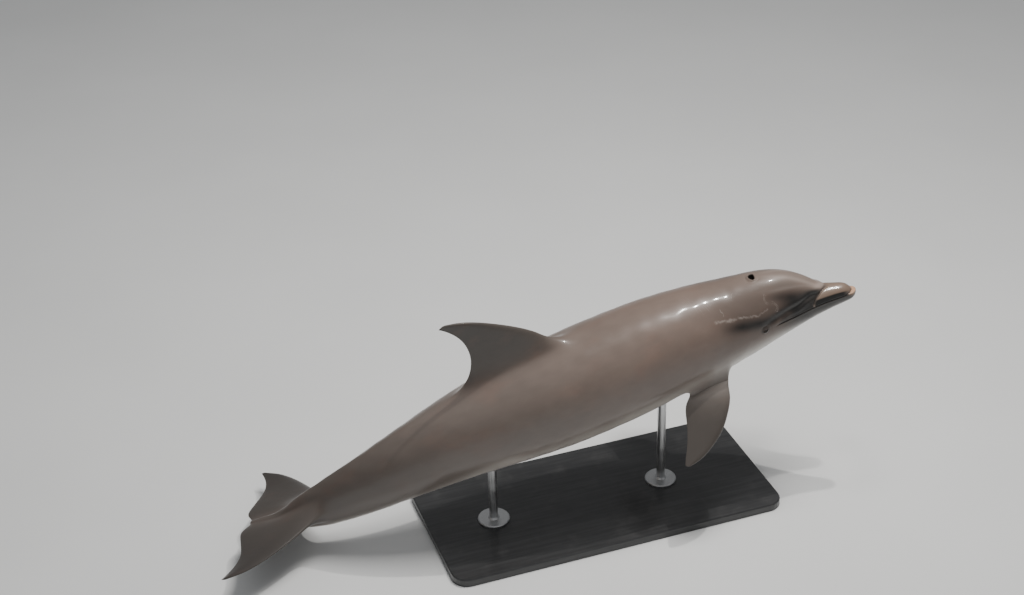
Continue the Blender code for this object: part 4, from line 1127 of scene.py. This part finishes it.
def eye_material():
    """A dark brown iris with a wide black pupil under a clear wet film, in a dull brown ball."""
    material, surface = new_material("wet_eye", 0.22, coat=0.5, coat_roughness=0.02, specular=0.1)
    gaze = attribute(surface, "gaze", "Vector")
    across, up, _ = gaze.parts()
    pupil, reach = distance(across / 2.0, up), distance(across, up)
    turn = up.maths("ARCTAN2", across) * 9.0
    unrolled = Value(node(gaze.tree, "ShaderNodeCombineXYZ", {0: turn, 1: reach, 2: 0.0}))
    spokes = unrolled.noise(3.0, 4.0, 0.6)
    iris = mixed(spokes.ranged(0.3, 0.7), (0.012, 0.006, 0.003), (0.060, 0.030, 0.013))
    iris = mixed(reach.ranged(0.40, 0.58), iris, (0.005, 0.003, 0.002))
    ball = mixed(gaze.noise(9.0, 3.0), (0.024, 0.015, 0.011), (0.060, 0.040, 0.030))
    colour = mixed(reach.ranged(0.56, 0.62), iris, ball)
    colour = mixed(pupil.ranged(0.15, 0.12), colour, (0.002, 0.002, 0.002))
    dress(surface, colour, None, spokes, 0.15, 0.0003)
    return material


def plate_material():
    """Black satin lacquer over a close-grained board, with a faint grain and fine dust."""
    material, surface = new_material("black_lacquer", 0.36, coat=0.35, coat_roughness=0.16)
    place = object_place(surface)
    grain = place.noise(90.0, 6.0, 0.6, (0.05, 1, 1))
    pores = place.noise(520.0, 2.0, 0.5, (0.10, 1, 1))
    dust = place.noise(14.0, 3.0)
    colour = mixed(grain.ranged(0.35, 0.7), (0.020, 0.0205, 0.0215), (0.034, 0.0345, 0.036))
    colour = mixed(dust.ranged(0.5, 0.8, 0.0, 0.05), colour, (0.35, 0.34, 0.33))
    dress(surface, colour, dust.ranged(0.3, 0.7, 0.32, 0.44), grain + pores * 0.4, 0.12, 0.0006)
    return material


def steel_material():
    """Steel brushed along its length, with faint handling marks."""
    material, surface = new_material("brushed_steel", 0.30, metallic=1.0)
    place = object_place(surface)
    lines = place.noise(900.0, 3.0, 0.6, (1, 1, 0.012))
    colour = mixed(lines.ranged(0.3, 0.7), (0.46, 0.465, 0.47), (0.64, 0.645, 0.65))
    rough = place.noise(26.0, 3.0).ranged(0.3, 0.7, 0.24, 0.36) + lines * 0.08
    dress(surface, colour, rough, lines, 0.08, 0.0002)
    return material


# ---- Settings --------------------------------------------------------------------------------------------
def colour_setting(name, what, default):
    """A colour in the sidebar."""
    return FloatVectorProperty(name=name, description=f"Colour of {what}", default=default, subtype="COLOR",
                               size=3, min=0, max=1)


def number_setting(name, description, default, least=0.0, unit="NONE"):
    """A number in the sidebar."""
    return FloatProperty(name=name, description=description, default=default, min=least, unit=unit)


class DolphinSkinSettings(bpy.types.PropertyGroup):
    """Colours of the skin."""

    flank_colour: colour_setting("Flank", "the sides", (0.180, 0.143, 0.124))
    back_colour: colour_setting("Back", "the cape along the back", (0.156, 0.116, 0.098))
    blush_colour: colour_setting("Blush", "the reddish clouds on back and sides", (0.205, 0.118, 0.092))
    rear_colour: colour_setting("Rear", "the greyer sides towards the tail", (0.142, 0.130, 0.121))
    belly_colour: colour_setting("Belly", "the throat and belly", (0.47, 0.43, 0.40))
    fin_colour: colour_setting("Fins", "the dorsal fin, flippers and flukes", (0.088, 0.075, 0.067))
    beak_colour: colour_setting("Beak", "the beak's top", (0.150, 0.103, 0.077))
    lip_colour: colour_setting("Lip", "the lower lip's worn tip", (0.42, 0.25, 0.155))
    pale_colour: colour_setting("Streaks", "the light streaks over the melon", (0.300, 0.250, 0.225))
    # Painted shade of the face and jaws, with the dark eye patch
    mask_and_painted_shade_colour: colour_setting("Mask", "the bridle, eye patch and lower face", (0.015, 0.0145, 0.014))
    scar_colour: colour_setting("Scars", "old scratches", (0.48, 0.43, 0.39))
    # Painted shade in creases, the blowhole and behind the eyes, and the colour of the specks and the lids'
    # dark
    speck_and_painted_shade_colour: colour_setting("Folds", "creases and the blowhole's inside", (0.013, 0.011, 0.010))


class DolphinStudioSettings(bpy.types.PropertyGroup):
    """Light, floor and camera."""

    floor_colour: colour_setting("Floor", "the floor", (0.72, 0.73, 0.73))
    floor_size: number_setting("Floor size", "Side of the floor", 40.0, 5.0, "LENGTH")
    key_power: number_setting("Key light", "Power of the main light", 215.0, unit="POWER")
    spark_power: number_setting("Spark light", "Power of the small lamp for glints", 80.0, unit="POWER")
    fill_power: number_setting("Fill light", "Power of each fill light", 10.0, unit="POWER")
    sky_strength: number_setting("Sky", "Strength of the light from all round", 0.29)
    lens: number_setting("Lens", "Focal length of the camera in millimetres", 60.0, 10.0)


# ---- Operators -------------------------------------------------------------------------------------------
FLESH = ("head", "upper_beak", "lower_jaw", "chest", "midbody", "tail_stock", "dorsal_fin", "flipper_left",
         "flipper_right", "fluke_left", "fluke_right")
BALL_SHY = 0.0001  # how much smaller the drawn eyeball's radius is than its solid's
BALL_ROWS, BALL_COLUMNS = 48, 64


class DOLPHIN_OT_skin(bpy.types.Operator):
    """One closed skin over the whole animal, in place of the eleven flesh nodes"""

    bl_idname = "dolphin.skin"
    bl_label = "Skin"

    def execute(self, context):
        points, facts, faces, flats = build_skin()
        piece = put_mesh("skin", posed(points), faces, flats, markings_and_painted_shade(points, facts), MAP_LONG)
        face_out(piece)
        piece.data.materials.append(skin_material(context.scene.dolphin_skin))
        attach(piece, "root")
        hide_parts(*FLESH)
        return {"FINISHED"}


def eyeball(side):
    """A ball round the eye's middle, in rows from its front pole to its rear one.

    Gives its points, its faces and each point's direction in the eye's own axes: across, up and ahead.
    """
    centre, look = eye_axis(side)
    middle = posed(centre)
    front = posed(centre + 0.01 * look) - middle
    front /= np.linalg.norm(front)
    across = np.cross((0, 0, 1), front)
    across /= np.linalg.norm(across)
    up = np.cross(front, across)
    polar = np.linspace(0, math.pi, BALL_ROWS + 1)[1:-1]
    turn = np.linspace(0, 2 * math.pi, BALL_COLUMNS + 1)[:-1]
    polar, turn = np.meshgrid(polar, turn, indexing="ij")
    gaze = np.stack([np.sin(polar) * np.cos(turn), np.sin(polar) * np.sin(turn), np.cos(polar)], axis=-1)
    gaze = np.concatenate([gaze.reshape(-1, 3), [(0, 0, 1), (0, 0, -1)]])
    points = middle + (EYE_RADIUS - BALL_SHY) * (gaze @ np.stack([across, up, front]))
    index = np.arange(polar.size).reshape(polar.shape)
    loop = wrap(index)
    cells = np.stack([loop[:-1, :-1], loop[1:, :-1], loop[1:, 1:], loop[:-1, 1:]], axis=-1).reshape(-1, 4)
    fans = [np.stack([row[:-1], row[1:], np.full(len(row) - 1, pole)], axis=-1)
            for row, pole in ((loop[0], polar.size), (loop[-1], polar.size + 1))]
    return points, [cells, *fans], gaze


class DOLPHIN_OT_eyes(bpy.types.Operator):
    """Both eyeballs, sunk in their lids"""

    bl_idname = "dolphin.eyes"
    bl_label = "Eyes"

    def execute(self, context):
        material = eye_material()
        for name, side in (("left", 1), ("right", -1)):
            points, faces, gaze = eyeball(side)
            piece = put_mesh(f"eyeball_{name}", points, faces, attributes={"gaze": gaze})
            face_out(piece)
            piece.data.materials.append(material)
            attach(piece, "root")
            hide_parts(f"eye_{name}")
        return {"FINISHED"}


class DOLPHIN_OT_stand(bpy.types.Operator):
    """The finish of the stand's plate and rods"""

    bl_idname = "dolphin.stand"
    bl_label = "Stand"

    def execute(self, context):
        plate, steel = plate_material(), steel_material()
        finishes = {"stand_base": plate, "stand_rod_front": steel, "stand_rod_rear": steel}
        for name, material in finishes.items():
            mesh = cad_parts[name].data
            mesh.materials.clear()
            mesh.materials.append(material)
        return {"FINISHED"}


def put_lamp(name, lamp, place, aim, glossy=True):
    """A lamp in the scene, turned to shine at a place, and shown in reflections or not."""
    light = bpy.data.objects.new(name, lamp)
    light.location = place
    light.rotation_euler = (Vector(aim) - Vector(place)).to_track_quat("-Z", "Y").to_euler()
    light.visible_glossy = glossy
    bpy.context.scene.collection.objects.link(light)


def area_light(name, place, aim, power, size, colour, glossy=False):
    """A rectangle of light, of a size in metres both ways."""
    lamp = bpy.data.lights.new(name, "AREA")
    lamp.shape, lamp.size, lamp.size_y = "RECTANGLE", *size
    lamp.energy, lamp.color = power, colour
    put_lamp(name, lamp, place, aim, glossy)


def soft_sky(strength):
    """A world that is brightest overhead and pale again low at the horizon, with smooth shade between."""
    world = bpy.data.worlds.new("studio")
    world.use_nodes = True
    tree = world.node_tree
    height = Value(node(tree, "ShaderNodeTexCoord"), "Generated").parts()[2]
    low = mixed(height.ranged(0.0, 0.22), (1.25, 1.27, 1.30), (0.30, 0.31, 0.32))
    colour = mixed(height.ranged(0.15, 1.0), low, (1.55, 1.56, 1.58))
    tree.links.new(colour.socket, tree.nodes["Background"].inputs["Color"])
    tree.nodes["Background"].inputs["Strength"].default_value = strength
    return world


# Degrees round from the animal's right side, upwards and about the line of sight, and metres from the aim
CAMERA_AZIMUTH, CAMERA_ELEVATION, CAMERA_ROLL, CAMERA_AWAY = -18.775, 30.686, -1.696, 5.908
CAMERA_AIM = (-0.3088, 0.0, 0.9690)
FLOOR_DROP = 0.0006  # how far the floor lies below the plate's underside
SUN = (1.0, 0.97, 0.93)  # colour of the small bright lamps
BEAM_TIMES, BEAM_OPEN = 3, 6  # the beam's power in spark lamps, and how wide it opens in degrees
SENSOR_WIDTH = 36.0  # in millimetres, as the lens


class DOLPHIN_OT_studio(bpy.types.Operator):
    """A plain pale floor, soft light and the camera"""

    bl_idname = "dolphin.studio"
    bl_label = "Studio"

    def execute(self, context):
        settings = context.scene.dolphin_studio
        half = settings.floor_size / 2
        square = np.array([(-1, -1), (1, -1), (1, 1), (-1, 1)])
        corners = np.column_stack([half * square, np.full(4, -FLOOR_DROP)])
        floor = put_mesh("floor", corners, [np.array([[0, 1, 2, 3]])])
        material, surface = new_material("pale_floor", 0.75, specular=0.2)
        shade = object_place(surface).noise(1.2, 3.0).ranged(0.3, 0.7, 0.97, 1.0)
        dress(surface, shaded(settings.floor_colour, shade))
        floor.data.materials.append(material)

        low, middle = (0, 0, 0.5), (0.1, 0, 0.6)
        spark, fill = settings.spark_power, settings.fill_power
        area_light("spark", (1.32, 0.30, 4.85), middle, spark, (0.08, 0.08), SUN, True)
        beam = bpy.data.lights.new("beam", "SPOT")
        beam.energy, beam.color, beam.shadow_soft_size = BEAM_TIMES * spark, SUN, 0.05
        beam.spot_size, beam.spot_blend = math.radians(BEAM_OPEN), 1.0
        put_lamp("beam", beam, (1.22, -0.42, 4.85), (0.90, -0.14, 0.82))
        area_light("key", (0.5, -0.1, 5.4), middle, settings.key_power, (2.0, 1.6), (1.0, 0.975, 0.945))
        area_light("fill", (-2.5, -4.5, 3.5), low, fill, (4.0, 3.0), (0.95, 0.98, 1.0))
        area_light("back", (-1.5, 4.5, 3.2), low, fill, (3.5, 2.0), (1, 1, 1))
        context.scene.world = soft_sky(settings.sky_strength)

        turn, rise = math.radians(CAMERA_AZIMUTH), math.radians(CAMERA_ELEVATION)
        back = Vector((math.sin(turn) * math.cos(rise), -math.cos(turn) * math.cos(rise), math.sin(rise)))
        lens = bpy.data.cameras.new("camera")
        lens.lens, lens.sensor_width = settings.lens, SENSOR_WIDTH
        camera = bpy.data.objects.new("camera", lens)
        camera.location = Vector(CAMERA_AIM) + CAMERA_AWAY * back
        upright = (-back).to_track_quat("-Z", "Y").to_matrix()
        camera.rotation_euler = (upright @ Matrix.Rotation(math.radians(CAMERA_ROLL), 3, "Z")).to_euler()
        context.scene.collection.objects.link(camera)
        context.scene.camera = camera
        return {"FINISHED"}


class DOLPHIN_PT_panel(bpy.types.Panel):
    """Lists the dolphin's pieces in the sidebar"""

    bl_idname = "DOLPHIN_PT_panel"
    bl_label = "Museum dolphin"
    bl_space_type = "VIEW_3D"
    bl_region_type = "UI"
    bl_category = "Dolphin"

    def draw(self, context):
        for group in (context.scene.dolphin_skin, context.scene.dolphin_studio):
            box = self.layout.box()
            for key in group.__annotations__:
                box.prop(group, key)
        for operator in OPERATORS:
            self.layout.operator(operator.bl_idname)


OPERATORS = (DOLPHIN_OT_skin, DOLPHIN_OT_eyes, DOLPHIN_OT_stand, DOLPHIN_OT_studio)
CLASSES = (DolphinSkinSettings, DolphinStudioSettings, *OPERATORS, DOLPHIN_PT_panel)


def register():
    """Adds the classes and the scene's settings to Blender."""
    for kind in CLASSES:
        bpy.utils.register_class(kind)
    bpy.types.Scene.dolphin_skin = PointerProperty(type=DolphinSkinSettings)
    bpy.types.Scene.dolphin_studio = PointerProperty(type=DolphinStudioSettings)


def unregister():
    """Takes them out again."""
    del bpy.types.Scene.dolphin_studio
    del bpy.types.Scene.dolphin_skin
    for kind in reversed(CLASSES):
        bpy.utils.unregister_class(kind)


def main():
    """Builds every piece and the studio."""
    register()
    bpy.ops.dolphin.skin()
    bpy.ops.dolphin.eyes()
    bpy.ops.dolphin.stand()
    bpy.ops.dolphin.studio()


if __name__ == "__main__":
    main()
